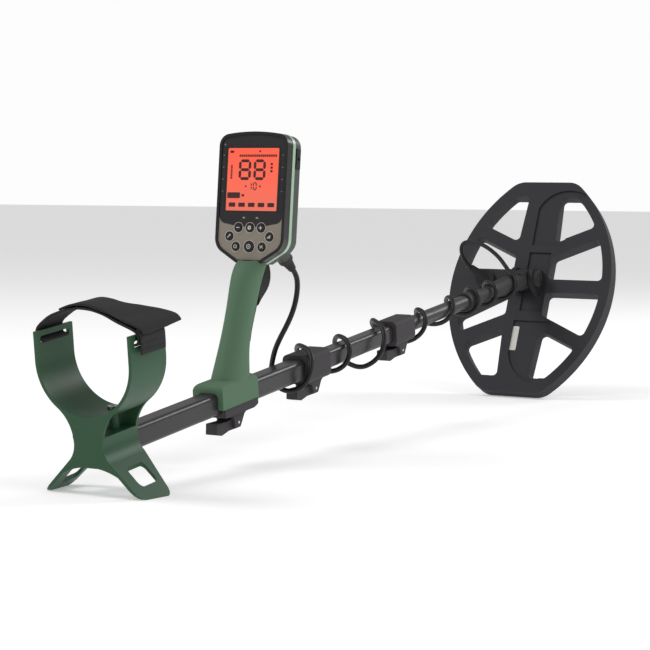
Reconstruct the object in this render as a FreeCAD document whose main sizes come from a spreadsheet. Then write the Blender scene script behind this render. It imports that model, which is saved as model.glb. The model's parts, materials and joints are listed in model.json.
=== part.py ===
import FreeCAD, Part

import math
import os
import re

import Sketcher
from FreeCAD import Placement, Rotation, Vector

# Hand-held metal detector, millimetres.
# Everything is laid out in the shaft frame: +X to the right, +Y along the shaft towards the coil, +Z square to
# the shaft, with the rear face of the armrest at Y = 0 and the axis of the tubes at X = Z = 0.
# The last step stands the detector on its two feet and on the lower end of the coil.

SIZES = {
    # shaft tubes
    "tube_start": (3.2, "rear end of the upper tube"),
    "upper_side": (21.8, "upper tube, width across flats"),
    "upper_corner": (4.4, "upper tube, outer corner radius"),
    "upper_wall": (1.0, "upper tube wall"),
    "upper_length": (408.8, "upper tube length"),
    "middle_start": (160.0, "rear end of the middle tube"),
    "middle_corner": (4.0, "middle tube, outer corner radius"),
    "middle_wall": (0.9, "middle tube wall"),
    "middle_length": (462.0, "middle tube length"),
    "lower_start": (285.0, "rear end of the lower tube"),
    "lower_wall": (1.5, "lower tube wall"),
    "lower_length": (515.0, "lower tube length"),
    "slide_gap": (0.1, "clearance on each side between sliding pieces"),
    "seat_gap": (0.15, "clearance on each side between seated pieces"),
    "guide_length": (18.0, "guide bush length"),
    # armrest
    "cuff_radius": (51.0, "cuff, outer radius"),
    "cuff_wall": (3.0, "cuff wall"),
    "cuff_depth": (54.0, "cuff depth along the shaft"),
    "cuff_centre": (79.0, "cuff centre above the tube axis"),
    "cuff_top": (105.0, "cuff rim above the tube axis"),
    "web_wall": (3.0, "rear and front web thickness"),
    "web_reach": (44.0, "half width where the arch meets the foot plates"),
    "arch_radius": (64.0, "radius of the arch between the feet"),
    "waist_half": (15.2, "half width of the waist"),
    "waist_height": (7.0, "waist above the tube axis"),
    "foot_radius": (22.0, "radius of the wall that runs out into the foot"),
    "foot_wall": (3.0, "foot plate thickness"),
    "foot_drop": (38.9, "ground below the tube axis at the rear face"),
    "foot_corner": (9.0, "corner radius of the foot"),
    "foot_taper": (9.0, "how much shorter the foot is at the ground than at the waist"),
    "sleeve_half": (14.0, "half height of the sleeve round the tube"),
    "strap_slot": (6.0, "height of the strap slot"),
    "strap_bar": (5.0, "bar left above the strap slot"),
    "strap_width": (38.0, "strap width"),
    "strap_thick": (2.4, "strap thickness"),
    "strap_rise": (20.0, "rise of the strap above the cuff rim"),
    "screw_at": (40.0, "armrest screw along the shaft"),
    "screw_radius": (2.5, "armrest screw shank radius"),
    "clamp_screw_radius": (1.4, "handle clamp screw radius"),
    # cam locks
    "clamp_start": (203.0, "rear end of the handle's clamp"),
    "lock_mid_start": (370.0, "rear end of the cam lock on the upper tube"),
    "lock_low_start": (580.0, "rear end of the cam lock on the middle tube"),
    "lock_length": (49.0, "cam lock length"),
    "lock_nose": (7.0, "part of the cam lock in front of its outer tube"),
    "lock_wall": (4.6, "cam lock wall"),
    "lock_pin_drop": (14.0, "pin below the underside of the locked tube"),
    "lock_pin_at": (24.0, "pin ahead of the cam lock's rear end"),
    "lock_pin_radius": (1.5, "lock pin radius"),
    "lock_cheek": (3.5, "thickness of the two cheeks that hold the pin"),
    "lever_width": (13.0, "lever width"),
    "lever_length": (34.0, "lever length behind its pin"),
    "cam_radius": (6.5, "radius of the lever's cam"),
    "pad_half": (4.5, "half width and half length of the pressure pad"),
    "pivot_gap": (0.06, "radial running clearance of pins"),
    # handle
    "handle_start": (197.0, "rear end of the handle's saddle"),
    "saddle_length": (67.0, "saddle length"),
    "saddle_half": (17.0, "saddle half width"),
    "saddle_skirt": (5.0, "how far the saddle reaches below the tube axis"),
    "saddle_top": (20.0, "saddle top above the tube axis"),
    "grip_start": (238.0, "middle of the grip's foot along the shaft"),
    "grip_height": (114.0, "height of the grip"),
    "grip_lean": (60.0, "how far the grip leans forward from foot to top"),
    "grip_half_width": (13.6, "grip half width at its narrowest"),
    "grip_half_depth": (18.6, "grip half depth at its narrowest"),
    "grip_wall": (3.0, "grip wall"),
    "hook_reach": (7.0, "how far the finger hook stands out of the grip"),
    "cell_radius": (9.2, "battery cell radius"),
    "cell_length": (65.0, "battery cell length"),
    # pod
    "pod_ahead": (302.0, "middle of the display along the shaft"),
    "pod_above": (207.0, "middle of the display above the tube axis"),
    "pod_lean": (11.5, "lean of the pod's face from square to the shaft, in degrees"),
    "pod_width": (79.0, "pod width"),
    "pod_top": (43.5, "pod top corners above the display's middle"),
    "pod_crown": (4.0, "rise of the pod's crowned top"),
    "pod_shoulder": (68.0, "where the pod's lower corners start, below the display's middle"),
    "pod_bottom": (83.5, "pod bottom below the display's middle"),
    "pod_chin": (28.0, "width of the flat under the pod"),
    "pod_corner": (12.0, "radius of the pod's top corners"),
    "pod_shoulder_corner": (16.5, "radius of the pod's lower corners"),
    "bezel_depth": (10.0, "front housing depth"),
    "bezel_rim": (3.0, "width of the front housing's rim"),
    "rim_rise": (1.0, "how far the rim stands above the panels"),
    "panel_thick": (1.2, "face and keypad panel thickness"),
    "trim_depth": (5.0, "trim ring depth"),
    "rear_depth": (17.0, "rear housing depth"),
    "shell_wall": (3.0, "pod shell wall"),
    "display_width": (58.7, "display width"),
    "display_height": (61.8, "display height"),
    "window_margin": (2.4, "window beyond the display on each side"),
    "panel_split": (36.0, "where the keypad panel starts at the sides, below the display's middle"),
    "panel_drop": (8.5, "how far the face panel's lower corners reach below that"),
    "panel_sag": (3.0, "how far the face panel's lower edge sags between its corners"),
    "key_radius": (4.3, "key radius"),
    "big_key_radius": (5.4, "radius of the key in the middle of the bottom row"),
    "key_gap": (0.25, "clearance round a key"),
    "key_travel": (0.8, "key travel"),
    "key_rise": (1.3, "key top above the keypad panel"),
    "plug_across": (20.0, "coil lead plug, to the right of the middle"),
    "plug_up": (66.0, "coil lead plug, below the display's middle"),
    "plug_depth": (20.0, "coil lead plug, behind the face"),
    "plug_tilt": (30.0, "tilt of the plug below square to the face, in degrees"),
    "plug_radius": (5.0, "coil lead plug radius"),
    "boot_length": (16.0, "coil lead boot length"),
    "speaker_up": (22.0, "speaker above the display's middle"),
    "port_up": (22.0, "headphone socket above the display's middle"),
    "port_length": (20.0, "opening for the socket block, length"),
    "port_height": (8.0, "opening for the socket block, height"),
    "jack_radius": (1.8, "headphone socket bore radius"),
    "jack_depth": (9.0, "headphone socket bore depth"),
    # rod end and coil
    "collar_length": (36.0, "rod end collar length"),
    "collar_radius": (11.4, "rod end collar radius"),
    "neck_radius": (7.9, "rod end neck radius"),
    "neck_length": (46.0, "rod end neck length"),
    "yoke_radius": (11.6, "rod end head radius"),
    "pivot_at": (1000.0, "coil bolt along the shaft"),
    "coil_fold": (59.0, "angle from the shaft to the coil's long axis, in degrees"),
    "coil_length": (305.0, "coil length"),
    "coil_width": (229.0, "coil width"),
    "coil_side_radius": (196.0, "radius of the coil's long sides"),
    "coil_below": (18.0, "coil's top face below its bolt"),
    "coil_offset": (3.0, "coil's middle behind its bolt"),
    "coil_thick": (17.0, "coil top shell thickness"),
    "cover_thick": (3.0, "coil cover thickness"),
    "rim_width": (12.5, "coil rim width at the sides"),
    "end_width": (21.5, "coil rim width at the ends"),
    "spine_half": (26.0, "half width of the coil's spine"),
    "rib_root": (42.5, "where the slanted ribs leave the spine, from the coil's middle"),
    "rib_root_width": (20.5, "width of the slanted ribs at the spine"),
    "rib_reach": (70.5, "where the slanted ribs meet the rim, from the coil's middle"),
    "rib_reach_width": (16.5, "width of the slanted ribs at the rim"),
    "cross_half": (9.5, "half width of the rib across the middle"),
    "recess_depth": (2.5, "depth of the recess in the spine"),
    "tongue_width": (17.6, "tongue width"),
    "washer_thick": (0.9, "friction washer thickness"),
    "ear_thick": (6.0, "coil ear thickness"),
    "ear_radius": (14.0, "coil ear radius"),
    "bolt_radius": (4.0, "tilt bolt radius"),
    "head_radius": (11.5, "tilt bolt head and nut radius"),
    "winding_side": (6.0, "winding cross-section side"),
    "gland_across": (-64.0, "lead gland, from the coil's middle line"),
    "gland_up": (3.0, "lead gland along the coil, from its bolt"),
    "lead_radius": (2.75, "coil lead radius"),
}

# Sizes that follow from others. They are written out in full wherever an expression uses their names.
DERIVED = {
    "middle_side": "upper_side - 2 * upper_wall - 2 * slide_gap",
    "middle_bore": "middle_side - 2 * middle_wall",
    "lower_radius": "middle_bore / 2 - slide_gap",
    "lower_bore": "lower_radius - lower_wall",
    "upper_end": "tube_start + upper_length",
    "middle_end": "middle_start + middle_length",
    "lower_end": "lower_start + lower_length",
    "grip_side": "upper_side + 2 * seat_gap",
    "wall_centre": "waist_half + foot_radius",
    "plate_line": "wall_centre + waist_height - foot_radius * sqrt(2)",
    "crease_out": "wall_centre - foot_radius / sqrt(2)",
    "crease_up": "waist_height - foot_radius / sqrt(2)",
    "upper_curve": "(waist_half * waist_half + (cuff_centre - waist_height) * (cuff_centre - waist_height)"
                   " - cuff_radius * cuff_radius) / (2 * (cuff_radius - waist_half))",
    "touch_share": "cuff_radius / (cuff_radius + upper_curve)",
    "touch_out": "(waist_half + upper_curve) * touch_share",
    "touch_up": "cuff_centre - (cuff_centre - waist_height) * touch_share",
    "ear_inner": "tongue_width / 2 + washer_thick + slide_gap",
    "ear_outer": "ear_inner + ear_thick",
    "panel_half": "pod_width / 2 - bezel_rim - seat_gap",
    "arc_centre": "coil_side_radius - coil_width / 2",
    "rim_inner": "coil_side_radius - rim_width",
    "front_at": "-bezel_depth + rim_rise",
}

document = FreeCAD.newDocument("metal_detector")
sheet = document.addObject("Spreadsheet::Sheet", "Sizes")
for row, (alias, (number, meaning)) in enumerate(SIZES.items(), start=1):
    sheet.set(f"A{row}", meaning)
    sheet.set(f"B{row}", str(number))
    sheet.setAlias(f"B{row}", alias)
document.recompute()

PIECES = []


# ---------------------------------------------------------------- expressions and placing


def written_out(expression):
    """Replace derived names by what they stand for, and name the sheet before each of its cells."""
    text = str(expression)
    while True:
        longer = re.sub(r"\b[a-z_]+\b", lambda m: f"({DERIVED[m[0]]})" if m[0] in DERIVED else m[0], text)
        if longer == text:
            break
        text = longer
    return re.sub(r"\b[a-z_]+\b", lambda m: f"Sizes.{m[0]}" if m[0] in SIZES else m[0], text)


def size(expression):
    """The number that an expression comes to."""
    number = sheet.evalExpression(written_out(expression).replace("Sizes.", ""))
    return float(getattr(number, "Value", number))


def bind(thing, **expressions):
    """Bind properties to the sheet; a double underscore stands for a dot in the property's path."""
    for name, expression in expressions.items():
        thing.setExpression(name.replace("__", "."), written_out(expression))
    return thing


def at(thing, across="0", along="0", up="0", turn=None):
    """Place a primitive: a fixed turn, and a position bound to the sheet."""
    if turn is not None:
        thing.Placement = Placement(Vector(), turn)
    return bind(thing, Placement__Base__x=across, Placement__Base__y=along, Placement__Base__z=up)


def frame_of_coil():
    """The coil's frame: origin on the bolt, +Y along the coil, +Z out of its top face."""
    return Placement(Vector(0, size("pivot_at"), 0), Rotation(Vector(1, 0, 0), size("coil_fold")))


def frame_of_pod():
    """The pod's frame: origin in the middle of the display, +Y up the face, +Z towards the user."""
    return Placement(Vector(0, size("pod_ahead"), size("pod_above")), Rotation(Vector(1, 0, 0), 90 - size("pod_lean")))


def piece(label, thing, frame=None, shift=None):
    """Register a finished sub-part under its name, with the frame that it is drawn in."""
    if isinstance(thing, list) or thing.TypeId not in ("PartDesign::Body", "Part::Feature"):
        holder = document.addObject("Part::Compound", label)
        holder.Links = [thing] if not isinstance(thing, list) else thing
        thing = holder
    thing.Label = label
    local = frame or Placement()
    if shift is not None:
        local = local.multiply(Placement(shift, Rotation()))
    PIECES.append((thing, local))
    return thing


def solid_piece(label, shape, frame=None):
    """A sub-part whose shape is worked out with Part's own functions."""
    thing = document.addObject("Part::Feature", label)
    thing.Shape = shape
    return piece(label, thing, frame)


# ---------------------------------------------------------------- primitives and booleans

ALONG = Rotation(Vector(1, 0, 0), -90)     # turns a primitive's +Z to +Y
ACROSS = Rotation(Vector(0, 1, 0), 90)     # turns a primitive's +Z to +X


def box(name, width, length, height, across="0", along="0", up="0"):
    """A block centred across, starting at along and at up."""
    thing = document.addObject("Part::Box", name)
    bind(thing, Length=width, Width=length, Height=height)
    return at(thing, f"{across} - ({width}) / 2", along, up)


def rod(name, radius, length, across="0", along="0", up="0", turn=ALONG):
    """A cylinder that starts at the given point and runs the way that turn gives."""
    thing = document.addObject("Part::Cylinder", name)
    bind(thing, Radius=radius, Height=length)
    return at(thing, across, along, up, turn)


def taper(name, first, last, length, across="0", along="0", up="0", turn=ALONG):
    """A cone from the first radius to the last."""
    thing = document.addObject("Part::Cone", name)
    bind(thing, Radius1=first, Radius2=last, Height=length)
    return at(thing, across, along, up, turn)


def joined(name, *things):
    """Fuse objects into one."""
    thing = document.addObject("Part::MultiFuse", name)
    thing.Shapes = list(things)
    thing.Refine = True
    return thing


def without(name, base, *tools):
    """Cut tools from a base, one after another."""
    for number, tool in enumerate(tools):
        thing = document.addObject("Part::Cut", f"{name}_{number}")
        thing.Base = base
        thing.Tool = tool
        base = thing
    return base


# ---------------------------------------------------------------- sketches


def new_body(name):
    """An empty body."""
    return document.addObject("PartDesign::Body", name)


def sketch_on(body, name, role, offset="0"):
    """A sketch on one of the body's own origin planes, moved along the plane's normal."""
    sketch = body.newObject("Sketcher::SketchObject", name)
    plane = next(feature for feature in body.Origin.OriginFeatures if feature.Role == role)
    sketch.AttachmentSupport = [(plane, "")]
    sketch.MapMode = "FlatFace"
    bind(sketch, AttachmentOffset__Base__z=offset)
    return sketch


def pin_point(sketch, geometry, end, across, up):
    """Hold one end of a line or arc at a point given by expressions."""
    for kind, expression, axis in (("DistanceX", across, -2), ("DistanceY", up, -1)):
        number = size(expression)
        if abs(number) < 1e-9:
            sketch.addConstraint(Sketcher.Constraint("PointOnObject", geometry, end, axis))
            continue
        index = sketch.addConstraint(Sketcher.Constraint(kind, -1, 1, geometry, end, number))
        sketch.setExpression(f"Constraints[{index}]", written_out(expression))


def outline(sketch, corners):
    """Draw a closed outline. A corner is (across, up), or (across, up, radius) when an arc leads to it:
    a plus radius bends to the left of the way along the outline, a minus radius to the right."""
    points = [Vector(size(corner[0]), size(corner[1]), 0) for corner in corners]
    starts = []
    for index, corner in enumerate(corners):
        first = points[index - 1]
        last = points[index]
        if len(corner) == 2:
            geometry = sketch.addGeometry(Part.LineSegment(first, last), False)
            starts.append((geometry, 1, 2))
            continue
        radius = size(corner[2])
        chord = last - first
        rise = math.sqrt(max(radius * radius - chord.Length ** 2 / 4, 0))
        side = Vector(-chord.y, chord.x, 0).normalize() * math.copysign(rise, radius)
        centre = (first + last) * 0.5 + side
        ends = (first, last) if radius > 0 else (last, first)
        angles = [math.atan2(end.y - centre.y, end.x - centre.x) for end in ends]
        circle = Part.Circle(centre, Vector(0, 0, 1), abs(radius))
        geometry = sketch.addGeometry(Part.ArcOfCircle(circle, angles[0], angles[1]), False)
        starts.append((geometry, 1, 2) if radius > 0 else (geometry, 2, 1))
        index_radius = sketch.addConstraint(Sketcher.Constraint("Radius", geometry, abs(radius)))
        sketch.setExpression(f"Constraints[{index_radius}]", written_out(f"abs({corner[2]})"))
    for index, (geometry, _, end) in enumerate(starts):
        following = starts[(index + 1) % len(starts)]
        sketch.addConstraint(Sketcher.Constraint("Coincident", geometry, end, following[0], following[1]))
        pin_point(sketch, geometry, end, corners[index][0], corners[index][1])


def circle(sketch, radius, across="0", up="0"):
    """Draw a circle."""
    middle = Vector(size(across), size(up), 0)
    geometry = sketch.addGeometry(Part.Circle(middle, Vector(0, 0, 1), size(radius)), False)
    index = sketch.addConstraint(Sketcher.Constraint("Radius", geometry, size(radius)))
    sketch.setExpression(f"Constraints[{index}]", written_out(radius))
    pin_point(sketch, geometry, 3, across, up)


def rounded_rectangle(sketch, width, height, corner, across="0", up="0"):
    """Draw a rectangle with rounded corners about a centre."""
    corner = f"({corner})"
    half, tall = f"({width}) / 2", f"({height}) / 2"
    left, right = f"{across} - {half}", f"{across} + {half}"
    low, high = f"{up} - {tall}", f"{up} + {tall}"
    outline(sketch, [
        (f"{left} + {corner}", low, corner), (f"{right} - {corner}", low),
        (right, f"{low} + {corner}", corner), (right, f"{high} - {corner}"),
        (f"{right} - {corner}", high, corner), (f"{left} + {corner}", high),
        (left, f"{high} - {corner}", corner), (left, f"{low} + {corner}"),
    ])


def grow(body, kind, name, sketch, length, reverse=False, both=False, through=False):
    """Pad or pocket a sketch, and leave the body's tip on it."""
    feature = body.newObject(f"PartDesign::{kind}", name)
    feature.Profile = sketch
    if through:
        feature.Type = 1
    else:
        bind(feature, Length=length)
    feature.Reversed = reverse
    feature.Midplane = both
    body.Tip = feature
    return feature


def soften(body, name, radius, wanted):
    """Round those edges of a body so far that are wanted."""
    document.recompute()
    base = body.Tip
    names = [f"Edge{number}" for number, edge in enumerate(base.Shape.Edges, start=1) if wanted(edge)]
    feature = body.newObject("PartDesign::Fillet", name)
    feature.Base = (base, names)
    bind(feature, Radius=radius)
    body.Tip = feature
    document.recompute()


def is_upright(edge):
    """Whether an edge is straight and runs along Z."""
    if edge.Curve.TypeId != "Part::GeomLine":
        return False
    along = edge.Vertexes[-1].Point - edge.Vertexes[0].Point
    return abs(along.x) < 1e-6 and abs(along.y) < 1e-6


def pad_along(body, name, sketch, length):
    """Pad a sketch on the XZ plane towards +Y, because that plane's normal points to -Y."""
    return grow(body, "Pad", name, sketch, length, reverse=True)


# ---------------------------------------------------------------- shaft tubes


def square_tube(label, side, corner, wall, start, length):
    """A tube with a rounded square section."""
    body = new_body(label)
    outer = sketch_on(body, f"{label}_section", "XZ_Plane")
    rounded_rectangle(outer, side, side, corner)
    rounded_rectangle(outer, f"{side} - 2 * {wall}", f"{side} - 2 * {wall}", f"{corner} - {wall}")
    pad_along(body, f"{label}_pad", outer, length)
    return body, Vector(0, size(start), 0)


def build_tubes():
    """The three telescoping tubes, with the guide bushes on the inner ends."""
    body, shift = square_tube("upper_tube", "upper_side", "upper_corner", "upper_wall", "tube_start", "upper_length")
    window = sketch_on(body, "upper_tube_pad_window", "XY_Plane")
    outline(window, [
        ("pad_half + slide_gap", "lock_mid_start + lock_pin_at - pad_half - slide_gap - tube_start"),
        ("pad_half + slide_gap", "lock_mid_start + lock_pin_at + pad_half + slide_gap - tube_start"),
        ("-pad_half - slide_gap", "lock_mid_start + lock_pin_at + pad_half + slide_gap - tube_start"),
        ("-pad_half - slide_gap", "lock_mid_start + lock_pin_at - pad_half - slide_gap - tube_start"),
    ])
    grow(body, "Pocket", "upper_tube_window", window, "upper_side")
    top = sketch_on(body, "upper_tube_screw_sketch", "XY_Plane")
    circle(top, "screw_radius + seat_gap", "0", "screw_at - tube_start")
    grow(body, "Pocket", "upper_tube_screw_hole", top, "upper_side", reverse=True)
    piece("upper_tube", body, shift=shift)

    body, shift = square_tube("middle_tube", "middle_side", "middle_corner", "middle_wall",
                              "middle_start", "middle_length")
    window = sketch_on(body, "middle_tube_pad_window", "XY_Plane")
    outline(window, [
        ("pad_half + slide_gap", "lock_low_start + lock_pin_at - pad_half - slide_gap - middle_start"),
        ("pad_half + slide_gap", "lock_low_start + lock_pin_at + pad_half + slide_gap - middle_start"),
        ("-pad_half - slide_gap", "lock_low_start + lock_pin_at + pad_half + slide_gap - middle_start"),
        ("-pad_half - slide_gap", "lock_low_start + lock_pin_at - pad_half - slide_gap - middle_start"),
    ])
    grow(body, "Pocket", "middle_tube_window", window, "middle_side")
    piece("middle_tube", body, shift=shift)

    body = new_body("lower_tube")
    section = sketch_on(body, "lower_tube_section", "XZ_Plane")
    circle(section, "lower_radius")
    circle(section, "lower_bore")
    pad_along(body, "lower_tube_pad", section, "lower_length")
    piece("lower_tube", body, shift=Vector(0, size("lower_start"), 0))

    flange = "3"
    for label, side, corner, spigot, start in (
        ("middle_guide", "upper_side - 2 * upper_wall - 2 * slide_gap", "upper_corner - upper_wall",
         "middle_bore - 2 * seat_gap", "middle_start"),
        ("lower_guide", "middle_bore - 2 * slide_gap", "middle_corner - middle_wall",
         "2 * lower_bore - 2 * seat_gap", "lower_start"),
    ):
        body = new_body(label)
        head = sketch_on(body, f"{label}_head_sketch", "XZ_Plane")
        rounded_rectangle(head, side, side, corner)
        circle(head, "lower_bore / 2")
        pad_along(body, f"{label}_head", head, flange)
        stem = sketch_on(body, f"{label}_stem_sketch", "XZ_Plane", f"-({flange})")
        if label == "middle_guide":
            rounded_rectangle(stem, spigot, spigot, corner)
        else:
            circle(stem, f"({spigot}) / 2")
        circle(stem, "lower_bore / 2")
        pad_along(body, f"{label}_stem", stem, f"guide_length - {flange}")
        piece(label, body, shift=Vector(0, size(f"{start} - {flange} - slide_gap"), 0))


# ---------------------------------------------------------------- armrest


def ground_below(along):
    """The ground's depth below the tube axis, as an expression, at a distance along the shaft."""
    return f"-foot_drop - ({along}) * {math.tan(stance_angle()):.6f}"


def build_armrest():
    """The armrest moulding: cuff, hourglass webs, sleeve and feet."""
    body = new_body("armrest")
    cuff = sketch_on(body, "cuff_section", "XZ_Plane")
    inner = "cuff_radius - cuff_wall"
    outline(cuff, [
        ("cuff_radius", "cuff_top"),
        (inner, "cuff_top"),
        (inner, "cuff_centre"),
        ("0", "cuff_centre - cuff_radius + cuff_wall", f"-({inner})"),
        (f"-({inner})", "cuff_centre", f"-({inner})"),
        (f"-({inner})", "cuff_top"),
        ("-cuff_radius", "cuff_top"),
        ("-cuff_radius", "cuff_centre"),
        ("0", "cuff_centre - cuff_radius", "cuff_radius"),
        ("cuff_radius", "cuff_centre", "cuff_radius"),
    ])
    pad_along(body, "cuff", cuff, "cuff_depth")
    for name, start in (("rear_web", "0"), ("front_web", "cuff_depth - web_wall")):
        web = sketch_on(body, f"{name}_section", "XZ_Plane", f"-({start})")
        outline(web, [
            ("touch_out", "touch_up", "cuff_radius"),
            ("waist_half", "waist_height", "upper_curve"),
            ("crease_out", "crease_up", "foot_radius"),
            ("web_reach", "plate_line - web_reach"),
            ("-web_reach", "plate_line - web_reach", "arch_radius"),
            ("-crease_out", "crease_up"),
            ("-waist_half", "waist_height", "foot_radius"),
            ("-touch_out", "touch_up", "upper_curve"),
        ])
        pad_along(body, name, web, "web_wall")
    wall = sketch_on(body, "foot_section", "XZ_Plane")
    top_out = "wall_centre - sqrt(foot_radius * foot_radius - (sleeve_half - waist_height) * (sleeve_half - waist_height))"
    tip = "foot_drop + 16"
    inner_line = "plate_line - foot_wall * sqrt(2)"
    outline(wall, [
        (f"-({top_out})", "sleeve_half"),
        ("-crease_out", "crease_up", "-foot_radius"),
        (f"-(plate_line) - ({tip})", f"-({tip})"),
        (f"-({inner_line}) - ({tip})", f"-({tip})"),
        (f"-({inner_line}) - sleeve_half", "-sleeve_half"),
        (f"{inner_line} + sleeve_half", "-sleeve_half"),
        (f"{inner_line} + {tip}", f"-({tip})"),
        (f"plate_line + {tip}", f"-({tip})"),
        ("crease_out", "crease_up"),
        (top_out, "sleeve_half", "-foot_radius"),
    ])
    pad_along(body, "sleeve_and_feet", wall, "cuff_depth")
    boss = sketch_on(body, "boss_sketch", "XY_Plane", "sleeve_half - 1")
    circle(boss, "screw_radius + 3", "0", "screw_at")
    grow(body, "Pad", "boss", boss, "cuff_centre - cuff_radius - sleeve_half + 2")
    bore = sketch_on(body, "tube_bore_sketch", "XZ_Plane", "-web_wall")
    rounded_rectangle(bore, "grip_side", "grip_side", "upper_corner")
    grow(body, "Pocket", "tube_bore", bore, "cuff_depth")
    screw = sketch_on(body, "screw_hole_sketch", "XY_Plane")
    circle(screw, "screw_radius + seat_gap", "0", "screw_at")
    grow(body, "Pocket", "screw_hole", screw, "cuff_centre", reverse=True)
    slot = sketch_on(body, "strap_slot_sketch", "YZ_Plane")
    slot_length = "strap_width + 4"
    rounded_rectangle(slot, slot_length, "strap_slot", "strap_slot / 2 - 0.5", "cuff_depth / 2",
                      "cuff_top - strap_bar - strap_slot / 2")
    grow(body, "Pocket", "strap_slots", slot, "3 * cuff_radius", both=True)
    sole = sketch_on(body, "sole_sketch", "YZ_Plane")
    front = "cuff_depth - foot_taper"
    outline(sole, [
        ("-5", "foot_corner - foot_drop"),
        ("0", "foot_corner - foot_drop"),
        ("foot_corner", ground_below("foot_corner"), "foot_corner * 1.04"),
        (f"{front} - foot_corner", ground_below(f"{front} - foot_corner")),
        (f"{front}", f"{ground_below(front)} + foot_corner", "foot_corner * 1.04"),
        ("cuff_depth", "crease_up"),
        ("cuff_depth + 5", "crease_up"),
        ("cuff_depth + 5", "-foot_drop - 40"),
        ("-5", "-foot_drop - 40"),
    ])
    grow(body, "Pocket", "sole", sole, "6 * cuff_radius", both=True)
    for name, way in (("right", ""), ("left", "-")):
        hole = sketch_on(body, f"{name}_foot_hole_sketch", "XY_Plane", "-sleeve_half - 1")
        near, far = "(crease_out + 6)", "(plate_line + foot_drop - 8)"
        rounded_rectangle(hole, f"{far} - {near}", "cuff_depth * 0.48", "foot_corner / 2",
                          f"{way}({near} + {far}) / 2", "cuff_depth / 2")
        grow(body, "Pocket", f"{name}_foot_hole", hole, "foot_drop * 1.5")
    piece("armrest", body)


def build_armrest_fittings():
    """The screw down through the cuff, the block that it bites in, and the strap."""
    cuff_floor = "cuff_centre - cuff_radius + cuff_wall"
    reach = f"{cuff_floor} + 5"
    shank = rod("armrest_screw_shank", "screw_radius", reach, along="screw_at", up="-4", turn=Rotation())
    head = rod("armrest_screw_head", "screw_radius * 1.8", "2.2", along="screw_at", up=f"{cuff_floor} + 0.25",
               turn=Rotation())
    socket = rod("armrest_screw_socket", "screw_radius * 0.8", "3", along="screw_at", up=f"{cuff_floor} + 1.2",
                 turn=Rotation())
    piece("armrest_screw", without("armrest_screw_cut", joined("armrest_screw_solid", shank, head), socket))
    inside = "upper_side - 2 * upper_wall - 2 * seat_gap"
    block = box("armrest_block_solid", f"({inside}) - 5", "26", inside, along="screw_at - 13", up=f"-({inside}) / 2")
    hole = rod("armrest_block_hole", "screw_radius + pivot_gap", "30", along="screw_at", up="-5", turn=Rotation())
    piece("armrest_block", without("armrest_block_cut", block, hole))

    rim = size("cuff_top")
    out = size("cuff_radius + strap_thick") + 0.4
    inside_x = size("cuff_radius - cuff_wall") - 3.6
    slot = size("cuff_top - strap_bar - strap_slot / 2") - size("strap_thick") / 2
    rise = size("strap_rise")
    half = [(inside_x, slot), (out, slot), (out, rim + 5), (out * 0.72, rim + rise * 0.62), (out * 0.3, rim + rise)]
    path = half + [(-x, z) for x, z in reversed(half)]
    start = size("cuff_depth - strap_width") / 2
    band, _ = run_with_arcs([Vector(x, start, z) for x, z in path], 0.4)
    thick = size("strap_thick")
    strip = band.makeOffset2D(thick, 0, True, True)
    shape = strip.extrude(Vector(0, size("strap_width"), 0))
    solid_piece("arm_strap", Part.Solid(shape) if shape.ShapeType == "Shell" else shape)


# ---------------------------------------------------------------- cam locks


def cut_lock_bores(body, prefix, pin_at, pin_up, low):
    """Cut the lever's slot, the pad's window and the pin's hole in a lock body."""
    roof = f"({pin_up}) + cam_radius + 0.4"
    front = f"{pin_at} + cam_radius + 1.6"
    slot = sketch_on(body, f"{prefix}_slot_section", "YZ_Plane")
    outline(slot, [("-3", roof), ("-3", f"{low} - 5"), (front, f"{low} - 5"), (front, roof)])
    grow(body, "Pocket", f"{prefix}_slot", slot, "lever_width + 2 * slide_gap + 0.2", both=True)
    window = sketch_on(body, f"{prefix}_window_sketch", "XY_Plane")
    rounded_rectangle(window, "2 * (pad_half + slide_gap)", "2 * (pad_half + slide_gap)", "0.05", "0", pin_at)
    grow(body, "Pocket", f"{prefix}_window", window, "80")
    hole = sketch_on(body, f"{prefix}_pin_hole_sketch", "YZ_Plane")
    circle(hole, "lock_pin_radius + pivot_gap", pin_at, pin_up)
    grow(body, "Pocket", f"{prefix}_pin_hole", hole, "60", both=True)


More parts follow.
